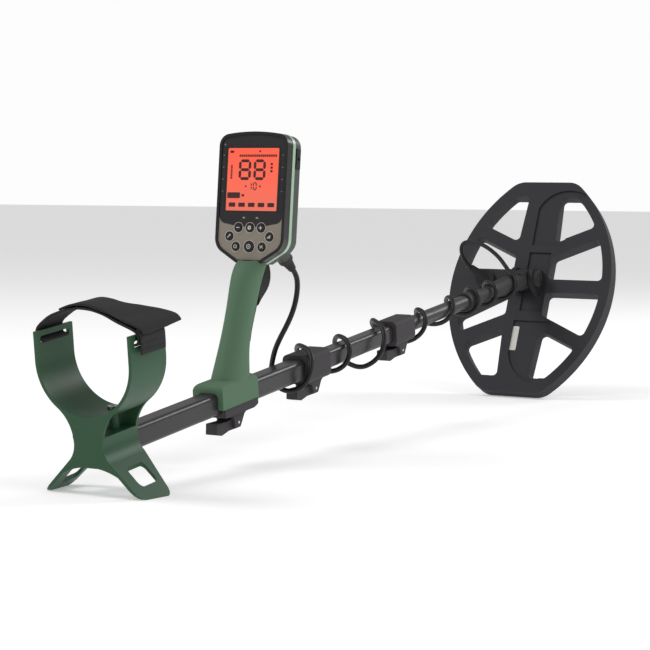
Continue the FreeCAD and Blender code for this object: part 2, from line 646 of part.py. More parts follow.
def add_lock_fittings(prefix, pin_along, pin_up, bottom):
    """The pin, the pressure pad and the lever of a cam lock whose pad presses on a tube bottom."""
    cheek_half = "lever_width / 2 + slide_gap + lock_cheek"
    pin = rod(f"{prefix}_pin_rod", "lock_pin_radius", f"2 * ({cheek_half}) + 0.6", f"-({cheek_half}) - 0.3",
              pin_along, pin_up, ACROSS)
    piece(f"{prefix}_pin", pin)
    pad_low = f"({pin_up}) + cam_radius + 0.15"
    pad = box(f"{prefix}_pad_block", "2 * pad_half", "2 * pad_half", f"-({bottom}) - slide_gap - ({pad_low})",
              along=f"{pin_along} - pad_half", up=pad_low)
    piece(f"{prefix}_pad", pad)
    lever = new_body(f"{prefix}_lever")
    side = sketch_on(lever, f"{prefix}_lever_side", "YZ_Plane")
    outline(side, [
        ("0", "-cam_radius"),
        ("cam_radius", "0", "cam_radius"),
        ("0", "cam_radius", "cam_radius"),
        ("-lever_length * 0.45", "cam_radius - 3"),
        ("-lever_length", "cam_radius - 1.5"),
        ("-lever_length - 1.5", "1 - cam_radius"),
        ("-lever_length + 7", "-cam_radius - 1.5"),
        ("-lever_length * 0.4", "0.5 - cam_radius"),
    ])
    grow(lever, "Pad", f"{prefix}_lever_pad", side, "lever_width", both=True)
    eye = sketch_on(lever, f"{prefix}_lever_eye", "YZ_Plane")
    circle(eye, "lock_pin_radius + pivot_gap")
    grow(lever, "Pocket", f"{prefix}_lever_hole", eye, "60", both=True)
    piece(f"{prefix}_lever", lever, shift=Vector(0, size(pin_along), size(pin_up)))


def cam_lock(prefix, start, outer, inner, outer_depth):
    """A cam lock: its body, pin, pad and lever.

    outer is the side of the tube that the body sits on, over outer_depth from its rear end, and inner is the
    width of what runs through the bore in front of it. The pad presses on that.
    """
    bottom = f"({inner}) / 2"
    pin_up = f"-({bottom}) - lock_pin_drop"
    pin_along = f"{start} + lock_pin_at"
    half = f"({outer}) / 2 + lock_wall"
    low = f"({pin_up}) - 5"
    body = new_body(f"{prefix}_body")
    section = sketch_on(body, f"{prefix}_body_section", "XZ_Plane")
    rounded_rectangle(section, f"2 * ({half})", f"2 * ({half})", "upper_corner + 2")
    pad_along(body, f"{prefix}_sleeve", section, "lock_length")
    cheek_half = "lever_width / 2 + slide_gap + lock_cheek"
    fin = sketch_on(body, f"{prefix}_fin_section", "YZ_Plane")
    outline(fin, [
        ("3", "0"), ("3", f"-({half}) + 1"), ("lock_pin_at - 9", f"-({half}) - 3"),
        ("lock_pin_at - 5", low), ("lock_pin_at + 4", low),
        ("lock_pin_at + 12", f"-({half}) - 2"), ("lock_length - 1", f"-({half}) + 4"), ("lock_length - 1", "0"),
    ])
    grow(body, "Pad", f"{prefix}_fin", fin, f"2 * ({cheek_half})", both=True)
    cut_lock_bores(body, prefix, "lock_pin_at", pin_up, low)
    back = sketch_on(body, f"{prefix}_rear_bore_sketch", "XZ_Plane")
    rounded_rectangle(back, f"{outer} + 2 * seat_gap", f"{outer} + 2 * seat_gap", "upper_corner - 0.5")
    grow(body, "Pocket", f"{prefix}_rear_bore", back, outer_depth)
    front = sketch_on(body, f"{prefix}_front_bore_sketch", "XZ_Plane")
    if prefix == "lock_low":
        circle(front, f"({inner}) / 2 + slide_gap")
    else:
        rounded_rectangle(front, f"{inner} + 2 * slide_gap", f"{inner} + 2 * slide_gap", "middle_corner - 0.5")
    grow(body, "Pocket", f"{prefix}_front_bore", front, "0", through=True)
    piece(f"{prefix}_body", body, shift=Vector(0, size(start), 0))
    add_lock_fittings(prefix, pin_along, pin_up, bottom)


def build_cam_locks():
    """The locks at the front of the upper tube and at the front of the middle tube."""
    cam_lock("lock_mid", "lock_mid_start", "upper_side", "middle_side", "upper_end - lock_mid_start + seat_gap")
    cam_lock("lock_low", "lock_low_start", "middle_side", "2 * lower_radius",
             "middle_end - lock_low_start + seat_gap")


# ---------------------------------------------------------------- handle

# Sections of the grip from foot to top: share of the height, share of the lean, and the half width and half
# depth as ratios of the narrowest ones.
GRIP_SECTIONS = (
    (0.00, 0.00, 1.21, 1.45),
    (0.15, 0.10, 1.12, 1.21),
    (0.35, 0.25, 1.00, 1.00),
    (0.57, 0.46, 0.98, 1.02),
    (0.78, 0.65, 1.04, 1.06),
    (0.93, 0.83, 1.12, 1.06),
    (1.00, 1.00, 1.08, 1.04),
)


def grip_section(index):
    """Height, middle along the shaft, half width and half depth of one section of the grip."""
    rise, lean, wide, deep = GRIP_SECTIONS[index]
    return (
        size("saddle_top - 6") + rise * size("grip_height"),
        size("grip_start") + lean * size("grip_lean"),
        wide * size("grip_half_width"),
        deep * size("grip_half_depth"),
    )


def grip_loft(grown):
    """The grip as a smooth loft through its oval sections, grown all round by an amount."""
    wires = []
    for index in range(len(GRIP_SECTIONS)):
        height, middle, half_width, half_depth = grip_section(index)
        oval = Part.Ellipse(Vector(0, 0, 0), half_depth + grown, half_width + grown).toShape()
        oval.Placement = Placement(Vector(0, middle, height), Rotation(Vector(0, 0, 1), 90))
        wires.append(Part.Wire([oval]))
    return Part.makeLoft(wires, True, False)


def front_strip(clearance, pod_room):
    """The strip let into the front of the grip up to the pod, with its finger hook, drawn in by a clearance."""
    edge = []
    for index in range(2, len(GRIP_SECTIONS)):
        height, middle, _, half_depth = grip_section(index)
        edge.append(Vector(-60, middle + 0.5 * half_depth + clearance, height))
    height, middle, _, half_depth = grip_section(2)
    start = Vector(-60, middle + half_depth + 3, height - 14 + clearance)
    top = edge[-1].z
    outside = [Vector(-60, edge[-1].y + 80, top), Vector(-60, edge[-1].y + 80, start.z)]
    region = Part.Face(Part.makePolygon([start] + edge + outside + [start])).extrude(Vector(120, 0, 0))
    region = region.cut(pod_room)
    strip = grip_loft(0.4).common(region)
    height, middle, half_width, half_depth = grip_section(5)
    reach = middle + half_depth + size("hook_reach")
    profile = Part.BSplineCurve()
    profile.interpolate([
        Vector(0, middle, height + 4), Vector(0, reach - 3, height + 2), Vector(0, reach, height - 11),
        Vector(0, reach - 4, height - 21), Vector(0, reach - 14, height - 29), Vector(0, middle, height - 38),
    ])
    back = Part.LineSegment(Vector(0, middle, height - 38), Vector(0, middle, height + 4))
    width = 1.25 * half_width - 2 * clearance
    hook = Part.Face(Part.Wire([profile.toShape(), back.toShape()])).extrude(Vector(width, 0, 0))
    hook.translate(Vector(-width / 2, 0, 0))
    rims = [edge for edge in hook.Edges if edge.Curve.TypeId == "Part::GeomBSplineCurve"]
    hook = hook.makeFillet(size("hook_reach") * 0.5, rims)
    return strip.fuse(hook.common(region)).cut(grip_loft(-size("grip_wall"))).removeSplitter()


def build_handle(pod_room):
    """The green shell with its saddle, the black front strip and the battery."""
    half, skirt = size("saddle_half"), size("saddle_skirt")
    top, start, length = size("saddle_top"), size("handle_start"), size("saddle_length")
    saddle = Part.makeBox(2 * half, length, top + skirt, Vector(-half, start, -skirt))
    crown = [edge for edge in saddle.Edges if edge.CenterOfMass.z > top - 0.1]
    saddle = saddle.makeFillet(min(half, top) * 0.45, crown)
    side = size("grip_side")
    passage = Part.makeBox(side, length + 20, side / 2 + skirt + 5, Vector(-side / 2, start - 10, -skirt - 5))
    corners = [edge for edge in passage.Edges
               if abs(edge.CenterOfMass.z - side / 2) < 0.01 and abs(abs(edge.CenterOfMass.x) - side / 2) < 0.01]
    passage = passage.makeFillet(size("upper_corner") - 0.3, corners)
    inside = Part.makeBox(100, 400, 200, Vector(-50, 100, top + size("grip_wall")))
    hollow = grip_loft(-size("grip_wall")).common(inside)
    shell = grip_loft(0).fuse(saddle).cut(hollow).cut(passage).cut(pod_room).cut(front_strip(0, pod_room))
    for along in (size("clamp_start + 8"), size("clamp_start + saddle_length - 12")):
        for across in (half - 3.2, 3.2 - half):
            foot = Vector(across, along, -skirt - 1)
            shell = shell.cut(Part.makeCylinder(size("clamp_screw_radius + seat_gap"), 4, foot))
    solid_piece("handle_shell", shell.removeSplitter())
    solid_piece("grip_strip", front_strip(size("seat_gap") / 2, pod_room))

    foot, head = grip_section(1), grip_section(4)
    low = Vector(0, foot[1], foot[0] + 5)
    way = (Vector(0, head[1] - 4, head[0]) - low).normalize()
    cell = Part.makeCylinder(size("cell_radius"), size("cell_length"), low, way)
    nub = Part.makeCylinder(size("cell_radius") / 3, 1.2, low + way * size("cell_length"), way)
    solid_piece("battery_cell", cell.fuse(nub).removeSplitter())


def build_clamp():
    """The half under the tube that holds the handle: the same pin, pad and lever as the cam locks."""
    bottom = "upper_side / 2"
    pin_up = f"-({bottom}) - lock_pin_drop"
    pin_at = "lock_pin_at + 8"
    pin_along = f"clamp_start + {pin_at}"
    cheek_half = "lever_width / 2 + slide_gap + lock_cheek"
    low = f"({pin_up}) - 5"
    length = "saddle_length - 5"
    top = "-saddle_skirt - 0.15"
    body = new_body("clamp_body")
    side = sketch_on(body, "clamp_side", "YZ_Plane")
    outline(side, [
        ("0", top), ("0", "-upper_side / 2 - 3"), (f"{pin_at} - 10", "-upper_side / 2 - 5"),
        (f"{pin_at} - 6", low), (f"{pin_at} + 3", low), (f"{pin_at} + 12", "-upper_side / 2 - 7"),
        (length, "-upper_side / 2 - 1"), (length, top),
    ])
    grow(body, "Pad", "clamp_block", side, "2 * (saddle_half - 1.5)", both=True)
    for name, sign in (("right", ""), ("left", "-")):
        trim = sketch_on(body, f"clamp_trim_{name}", "XZ_Plane")
        outline(trim, [
            (f"{sign}(saddle_half + 5)", "-upper_side / 2 - 3.5"), (f"{sign}({cheek_half})", "-upper_side / 2 - 3.5"),
            (f"{sign}({cheek_half})", f"{low} - 5"), (f"{sign}(saddle_half + 5)", f"{low} - 5"),
        ])
        grow(body, "Pocket", f"clamp_cheek_{name}", trim, "0", through=True)
    cut_lock_bores(body, "clamp", pin_at, pin_up, low)
    bore = sketch_on(body, "clamp_bore_sketch", "XZ_Plane")
    rounded_rectangle(bore, "grip_side", "grip_side", "upper_corner - 0.5")
    grow(body, "Pocket", "clamp_bore", bore, "0", through=True)
    holes = sketch_on(body, "clamp_screw_holes_sketch", "XY_Plane")
    for along in ("8", "saddle_length - 12"):
        for across in ("saddle_half - 3.2", "-(saddle_half - 3.2)"):
            circle(holes, "clamp_screw_radius + seat_gap", across, along)
    grow(body, "Pocket", "clamp_screw_holes", holes, "80", both=True)
    piece("clamp_body", body, shift=Vector(0, size("clamp_start"), 0))
    add_lock_fittings("clamp", pin_along, pin_up, bottom)

    screws = []
    for row, along in enumerate(("clamp_start + 8", "clamp_start + saddle_length - 12")):
        for column, across in enumerate(("saddle_half - 3.2", "-(saddle_half - 3.2)")):
            screws.append(rod(f"clamp_screw_{row}_{column}", "clamp_screw_radius", "9", across, along,
                              "-saddle_skirt - 7", Rotation()))
    return screws


# ---------------------------------------------------------------- pod

# Keys of the keypad: name, and place to the right of and above the middle of the display.
KEYS = (
    ("key_minus", -13.3, -48.3),
    ("key_settings", 0.0, -48.3),
    ("key_plus", 12.8, -48.3),
    ("key_mode", -23.3, -57.0),
    ("key_sensitivity", 22.8, -57.0),
    ("key_power", -15.4, -67.2),
    ("key_detect", 0.0, -67.0),
    ("key_accept", 14.6, -67.2),
)


def pod_corners(inset):
    """Corners of the pod's outline, drawn in by inset."""
    half = f"(pod_width / 2 - ({inset}))"
    high = f"(pod_top - ({inset}))"
    low = f"-(pod_bottom - ({inset}))"
    chin = f"(pod_chin / 2 - 0.28 * ({inset}))"
    shoulder = f"-(pod_shoulder - 0.56 * ({inset}))"
    crown = f"({half} * {half} + pod_crown * pod_crown) / (2 * pod_crown)"
    return [
        (f"-{chin}", low), (chin, low), (half, shoulder), (half, high), (f"-{half}", high, crown),
        (f"-{half}", shoulder),
    ]


def pod_layer(body, name, inset, low, depth, kind="Pad"):
    """Pad or pocket the pod's outline from a level towards the user, and round its corners."""
    sketch = sketch_on(body, f"{name}_outline", "XY_Plane", low)
    outline(sketch, pod_corners(inset))
    grow(body, kind, name, sketch, depth, reverse=(kind == "Pocket"))
    half = size(f"pod_width / 2 - ({inset})")
    base, top = size(low), size(f"{low} + {depth}")

    for place, corner, side in (("top", "pod_corner", 1), ("shoulder", "pod_shoulder_corner", -1)):
        def at_side(edge):
            middle = edge.CenterOfMass
            return (is_upright(edge) and abs(abs(middle.x) - half) < 0.02 and base < middle.z < top
                    and middle.y * side > 0)

        soften(body, f"{name}_{place}_corners", f"max({corner} - ({inset}); 3)", at_side)


def round_rear(body, name, level, radius):
    """Round the outer rim of a pod body where it ends at a level."""
    height = size(level)
    soften(body, name, radius, lambda edge: abs(edge.BoundBox.ZMin - height) + abs(edge.BoundBox.ZMax - height) < 0.01)


def cut_circles(body, name, spots, low, depth, kind="Pocket", reverse=True):
    """Pad or pocket circles (radius, across, up) from a level towards the user."""
    sketch = sketch_on(body, f"{name}_sketch", "XY_Plane", low)
    for radius, across, up in spots:
        circle(sketch, radius, across, up)
    return grow(body, kind, name, sketch, depth, reverse=reverse)


def face_edge():
    """The line between the face panel and the keypad panel, from left to right."""
    side, low = "panel_half", "-panel_split - panel_drop"
    inner = "(panel_half - panel_drop)"
    sag = f"({inner} * {inner} + panel_sag * panel_sag) / (2 * panel_sag)"
    return [
        (f"-{side}", "-panel_split"), (f"-{inner}", low, "panel_drop * 1.001"), (inner, low, sag),
        (side, "-panel_split", "panel_drop * 1.001"),
    ]


SCREW_SPOTS = (("29", "pod_top - 6"), ("-29", "pod_top - 6"), ("pod_width / 2 - 7.5", "-61"), ("7.5 - pod_width / 2", "-61"))
REAR = "(front_at) - trim_depth - rear_depth"


def build_pod():
    """The pod: front housing, panels, display, keys, board, trim ring, rear housing and what they hold."""
    frame = frame_of_pod()
    front = "front_at"
    split = f"{front} - trim_depth"
    floor = f"{REAR} + shell_wall"
    envelope = new_body("pod_envelope")
    pod_layer(envelope, "envelope_solid", "0", REAR, "rear_depth + trim_depth + bezel_depth")
    round_rear(envelope, "envelope_rear", REAR, "8")
    pod_layer(envelope, "envelope_trim", "-0.4", split, "trim_depth")

    bezel = new_body("pod_bezel")
    pod_layer(bezel, "bezel_solid", "0", front, "bezel_depth")
    pod_layer(bezel, "bezel_seat", "bezel_rim", "-panel_thick", "panel_thick + rim_rise", "Pocket")
    pod_layer(bezel, "bezel_opening", "bezel_rim + 2", front, "bezel_depth - panel_thick - rim_rise", "Pocket")
    bosses = [("3", across, up) for across, up in SCREW_SPOTS]
    cut_circles(bezel, "bezel_bosses", bosses, f"{front} - 2", "bezel_depth + 2 - rim_rise - panel_thick", "Pad", False)
    cut_circles(bezel, "bezel_boss_holes", [("1.25", across, up) for across, up in SCREW_SPOTS],
                f"{front} - 2", "8")
    piece("pod_bezel", bezel, frame)

    key_hole = {name: "big_key_radius" if name == "key_detect" else "key_radius" for name, _, _ in KEYS}
    for label, keep_lower in (("face_panel", False), ("keypad_panel", True)):
        panel = new_body(label)
        pod_layer(panel, f"{label}_solid", "bezel_rim + seat_gap", "-panel_thick", "panel_thick")
        far = "120" if keep_lower else "-120"
        rest = sketch_on(panel, f"{label}_rest", "XY_Plane", "-panel_thick")
        outline(rest, face_edge() + [("60", "-panel_split"), ("60", far), ("-60", far), ("-60", "-panel_split")])
        grow(panel, "Pocket", f"{label}_cut", rest, "panel_thick", reverse=True)
        spots = [(f"{key_hole[name]} + key_gap", str(across), str(up)) for name, across, up in KEYS]
        cut_circles(panel, f"{label}_key_holes", spots, "-panel_thick", "panel_thick")
        if not keep_lower:
            window = sketch_on(panel, "face_window_sketch", "XY_Plane", "-panel_thick")
            rounded_rectangle(window, "display_width + 2 * window_margin", "display_height + 2 * window_margin", "2")
            grow(panel, "Pocket", "face_window", window, "panel_thick", reverse=True)
        piece(label, panel, frame)

    lens = new_body("display_window")
    pane = sketch_on(lens, "pane_sketch", "XY_Plane", "-panel_thick")
    rounded_rectangle(pane, "display_width + 2 * window_margin - 2 * seat_gap",
                      "display_height + 2 * window_margin - 2 * seat_gap", "2 - seat_gap")
    grow(lens, "Pad", "pane", pane, "panel_thick")
    piece("display_window", lens, frame)
    back = f"{front} - 1.4"
    piece("display_module", box("display_block", "display_width + 4", "display_height + 3",
                                f"-panel_thick - 0.15 - ({back})", along="-(display_height + 3) / 2", up=back), frame)
    piece("circuit_board", box("board_solid", "62", "display_height + 28", "1.6", along="-57", up=f"{back} - 1.6"),
          frame)
    for name, across, up in KEYS:
        radius = key_hole[name]
        cap = rod(f"{name}_cap", radius, "key_rise + panel_thick + 1.4", str(across), str(up),
                  "-panel_thick - 1.4", Rotation())
        flange = rod(f"{name}_flange", f"{radius} + 1", "1", str(across), str(up), "-panel_thick - 1.6", Rotation())
        solid = joined(f"{name}_solid", cap, flange)
        domed = document.addObject("Part::Fillet", f"{name}_domed")
        document.recompute()
        domed.Base = solid
        top = max(range(len(solid.Shape.Edges)), key=lambda index: solid.Shape.Edges[index].CenterOfMass.z)
        domed.Edges = [(top + 1, 0.7, 0.7)]
        piece(name, domed, frame)

    trim = new_body("pod_trim")
    pod_layer(trim, "trim_solid", "-0.4", split, "trim_depth")
    pod_layer(trim, "trim_opening", "shell_wall", split, "trim_depth", "Pocket")
    piece("pod_trim", trim, frame)

    rear = new_body("rear_shell")
    pod_layer(rear, "rear_solid", "0", REAR, "rear_depth")
    round_rear(rear, "rear_rounding", REAR, "8")
    pod_layer(rear, "rear_cavity", "shell_wall", f"{REAR} + 8", "rear_depth - 8", "Pocket")
    pod_layer(rear, "rear_well", "shell_wall + 3.3", floor, "8 - shell_wall", "Pocket")
    columns = [("3.2", across, up) for across, up in SCREW_SPOTS]
    cut_circles(rear, "rear_columns", columns, floor, f"{front} - 2 - seat_gap - ({floor})", "Pad", False)
    ribs = [("2.5", x, y) for x in ("-20", "20") for y in ("8", "-45")]
    cut_circles(rear, "rear_ribs", ribs, floor, f"{back} - 1.6 - ({floor})", "Pad", False)
    cut_circles(rear, "rear_screw_holes", [("1.6", across, up) for across, up in SCREW_SPOTS], REAR, "rear_depth + 10")
    cut_circles(rear, "rear_counterbores", [("3", across, up) for across, up in SCREW_SPOTS], REAR, "2.4")
    grille = [("1", "0", "speaker_up")]
    for ring, count in ((5.0, 6), (10.0, 12)):
        for index in range(count):
            turn = 2 * math.pi * index / count
            grille.append(("1", f"{ring * math.cos(turn):.4f}", f"speaker_up + {ring * math.sin(turn):.4f}"))
    cut_circles(rear, "speaker_grille", grille, REAR, "shell_wall + 1")
    port = sketch_on(rear, "port_sketch", "YZ_Plane", "pod_width / 2 - 12")
    rounded_rectangle(port, "port_length", "port_height", "0.4", "port_up", f"{split} - 5.5")
    grow(rear, "Pocket", "port_opening", port, "30", reverse=True)

    turn = Rotation(Vector(0, 0, 1), Vector(0, -math.sin(math.radians(size("plug_tilt"))),
                                            -math.cos(math.radians(size("plug_tilt")))))

    def on_plug(name, radius, first, last, end_radius=None):
        place = dict(across="plug_across", along=f"-plug_up - sin(plug_tilt) * ({first})",
                     up=f"-plug_depth - cos(plug_tilt) * ({first})", turn=turn)
        if end_radius is None:
            return rod(name, radius, f"({last}) - ({first})", **place)
        return taper(name, radius, end_radius, f"({last}) - ({first})", **place)

    boss = on_plug("lead_socket_solid", "plug_radius + 3", "5", "plug_depth - 4")
    shell = joined("rear_with_socket", rear, boss)
    room = on_plug("lead_socket_room", "plug_radius + 3.3", "5", "plug_depth - 1")
    bore = on_plug("lead_socket_bore", "plug_radius + seat_gap", "4.4", "plug_depth")
    piece("pod_rear_housing", without("rear_housing_cut", shell, bore), frame)
    stem = on_plug("plug_stem", "plug_radius", "6", "plug_depth + 3")
    boot = on_plug("plug_boot", "plug_radius + 1.2", "plug_depth + 3", "plug_depth + boot_length + 3",
                   "lead_radius + 1.4")
    piece("lead_plug", joined("plug_solid", stem, boot), frame)
    ring = on_plug("plug_ring_solid", "plug_radius + 2.8", "plug_depth - 3.8", "plug_depth + 2.8")
    ring_bore = on_plug("plug_ring_bore", "plug_radius + pivot_gap", "plug_depth - 5", "plug_depth + 5")
    piece("plug_ring", without("plug_ring_cut", ring, ring_bore), frame)

    speaker = rod("speaker_solid", "14", "6", "0", "speaker_up", f"{floor} + 0.1", Rotation())
    piece("speaker", speaker, frame)
    block = box("socket_block_solid", "11", "port_length - 0.3", "port_height - 0.3",
                across="pod_width / 2 + 1.2 - 5.5", along="port_up - port_length / 2 + 0.15",
                up=f"{split} - 5.5 - port_height / 2 + 0.15")
    jack = rod("socket_bore", "jack_radius", "jack_depth", "pod_width / 2 + 1.2 - jack_depth", "port_up",
               f"{split} - 5.5", ACROSS)
    piece("socket_block", without("socket_block_cut", block, jack), frame)
    screws = []
    for index, (across, up) in enumerate(SCREW_SPOTS):
        shank = rod(f"pod_screw_shank_{index}", "1.2", "rear_depth + trim_depth + 3", across, up, f"{REAR} + 0.4",
                    Rotation())
        head = rod(f"pod_screw_head_{index}", "2.8", "1.9", across, up, f"{REAR} + 0.4", Rotation())
        screws.append(joined(f"pod_screw_{index}", shank, head))
    piece("pod_screws", screws, frame)
    return joined("pod_room", envelope, room)


# ---------------------------------------------------------------- rod end and coil


def rim_x(up):
    """How far across the rim's inner edge is, at a place given from the coil's middle."""
    return f"(sqrt((rim_inner) * (rim_inner) - ({up}) * ({up})) - (arc_centre))"


def coil_windows():
    """The windows as outlines. Places along the coil are from its middle; each window has one curved side."""
    end = "(coil_length / 2 - end_width)"
    corner = f"({rim_x(end)} - 1)"
    root_far = "(rib_root + rib_root_width)"
    reach_far = "(rib_reach + rib_reach_width)"
    spine_end = "(spine_half - 4)"
    windows = []

    def window(side, corners):
        placed = []
        for entry in corners:
            across = f"{side}({entry[0]})"
            up = f"({entry[1]}) - coil_offset"
            if len(entry) == 2:
                placed.append((across, up))
            else:
                placed.append((across, up, f"{side}({entry[2]})"))
        windows.append(placed)

    for side in ("", "-"):
        window(side, [
            ("spine_half", root_far), (rim_x(reach_far), reach_far), (corner, end, "rim_inner"), (spine_end, end),
        ])
        window(side, [
            ("spine_half", f"-{root_far}"), (spine_end, f"-{end}"), (corner, f"-{end}"),
            (rim_x(reach_far), f"-{reach_far}", "rim_inner"),
        ])
    window("", [
        ("spine_half", "cross_half"), (rim_x("cross_half"), "cross_half"),
        (rim_x("rib_reach"), "rib_reach", "rim_inner"), ("spine_half", "rib_root"),
    ])
    window("", [
        ("spine_half", "-rib_root"), (rim_x("rib_reach"), "-rib_reach"),
        (rim_x("cross_half"), "-cross_half", "rim_inner"), ("spine_half", "-cross_half"),
    ])
    plate_top, plate_root, plate_reach = "(2 * cross_half + 3)", "(cross_half)", "(rib_reach - 22)"
    window("-", [
        ("spine_half", plate_top), (rim_x(plate_top), plate_top),
        (rim_x("rib_reach"), "rib_reach", "rim_inner"), ("spine_half", "rib_root"),
    ])
    window("-", [
        ("spine_half", "-rib_root"), (rim_x("rib_reach"), "-rib_reach"),
        (rim_x(plate_reach), f"-{plate_reach}", "rim_inner"), ("spine_half", f"-{plate_root}"),
    ])
    return windows


def coil_plate(body, name, low, thick):
    """A plate with the coil's outline and windows, from a level upwards."""
    outer = sketch_on(body, f"{name}_outline", "XY_Plane", low)
    end_y = "(coil_length / 2)"
    end_x = f"(sqrt(coil_side_radius * coil_side_radius - {end_y} * {end_y}) - (arc_centre))"
    base, top = f"-coil_offset - {end_y}", f"-coil_offset + {end_y}"
    outline(outer, [
        (f"-{end_x}", base, "coil_side_radius"), (end_x, base), (end_x, top, "coil_side_radius"), (f"-{end_x}", top),
    ])
    grow(body, "Pad", name, outer, thick)
    soften(body, f"{name}_ends", "(coil_length / 2) * 0.18", is_upright)
    for index, corners in enumerate(coil_windows()):
        window = sketch_on(body, f"{name}_window_{index}", "XY_Plane", low)
        outline(window, corners)
        grow(body, "Pocket", f"{name}_opening_{index}", window, thick, reverse=True)
    soften(body, f"{name}_window_corners", "rib_reach_width * 0.36", is_upright)


def winding_loop(side, inset):
    """A D-shaped loop on one side of the coil: its back follows the rim, its straight leg the spine."""
    radius = f"(coil_side_radius - 3.5 - {inset})"
    turn_y = f"(coil_length / 2 - 34.5 - 0.75 * {inset})"
    turn_x = f"(sqrt({radius} * {radius} - {turn_y} * {turn_y}) - (arc_centre))"
    end_y = f"(coil_length / 2 - 3.5 - {inset})"
    end_x = f"(36 - 0.4 * {inset})"
    leg = f"(7 - {inset})"
    lean = f"(1 - 0.6 * {inset})"
    corners = [
        (f"-{leg}", f"-{end_y} + 8"), (lean, f"-{end_y}"), (end_x, f"-{end_y}"), (turn_x, f"-{turn_y}"),
        (turn_x, turn_y, radius), (end_x, end_y), (lean, end_y), (f"-{leg}", f"{end_y} - 8"),
    ]
    placed = []
    for entry in corners:
        corner = (f"{side}({entry[0]})", f"{entry[1]} - coil_offset")
        placed.append(corner if len(entry) == 2 else corner + (f"{side}({entry[2]})",))
    return placed


def winding_ring(body, name, side, low, depth, grown, kind):
    """Pad or pocket a D-shaped ring."""
    sketch = sketch_on(body, f"{name}_sketch", "XY_Plane", low)
    outline(sketch, winding_loop(side, f"(0 - {grown})"))
    outline(sketch, winding_loop(side, f"(winding_side - 0.5 + {grown})"))
    grow(body, kind, name, sketch, depth, reverse=(kind == "Pocket"))


def build_rod_end():
    """The moulded end of the lower tube, with the tongue that the coil turns on."""
    end = "lower_end"
    spigot = rod("rod_spigot", "lower_bore - seat_gap / 2", "22", along=f"{end} - 20")
    collar = rod("rod_collar", "collar_radius", "collar_length", along=f"{end} + 0.1")
    neck = rod("rod_neck", "neck_radius", "neck_length + 4", along=f"{end} + collar_length - 2")
    flare = taper("rod_flare", "neck_radius + 2.2", "yoke_radius", "40",
                  along=f"{end} + collar_length + neck_length")
    head_from = f"{end} + collar_length + neck_length + 40"
    head = rod("rod_head", "yoke_radius", f"pivot_at - 22 - ({head_from})", along=head_from)
    tongue = box("rod_tongue", "tongue_width", "34", "2 * yoke_radius", along="pivot_at - 34", up="-yoke_radius")
    nose = rod("rod_nose", "yoke_radius", "tongue_width", "-tongue_width / 2", "pivot_at", "0", ACROSS)
    solid = joined("rod_solid", spigot, collar, neck, flare, head, tongue, nose)
    hole = rod("rod_hole", "bolt_radius + pivot_gap", "40", "-20", "pivot_at", "0", ACROSS)
    piece("rod_end", without("rod_end_cut", solid, hole))
    washers = []
    for name, start in (("right", "tongue_width / 2"), ("left", "-tongue_width / 2 - washer_thick")):
        disc = rod(f"washer_{name}_disc", "yoke_radius - 0.6", "washer_thick", start, "pivot_at", "0", ACROSS)
        eye = rod(f"washer_{name}_eye", "bolt_radius + pivot_gap", "10", "-5 + " + start, "pivot_at", "0", ACROSS)
        washers.append(without(f"washer_{name}", disc, eye))
    piece("tilt_washers", washers)


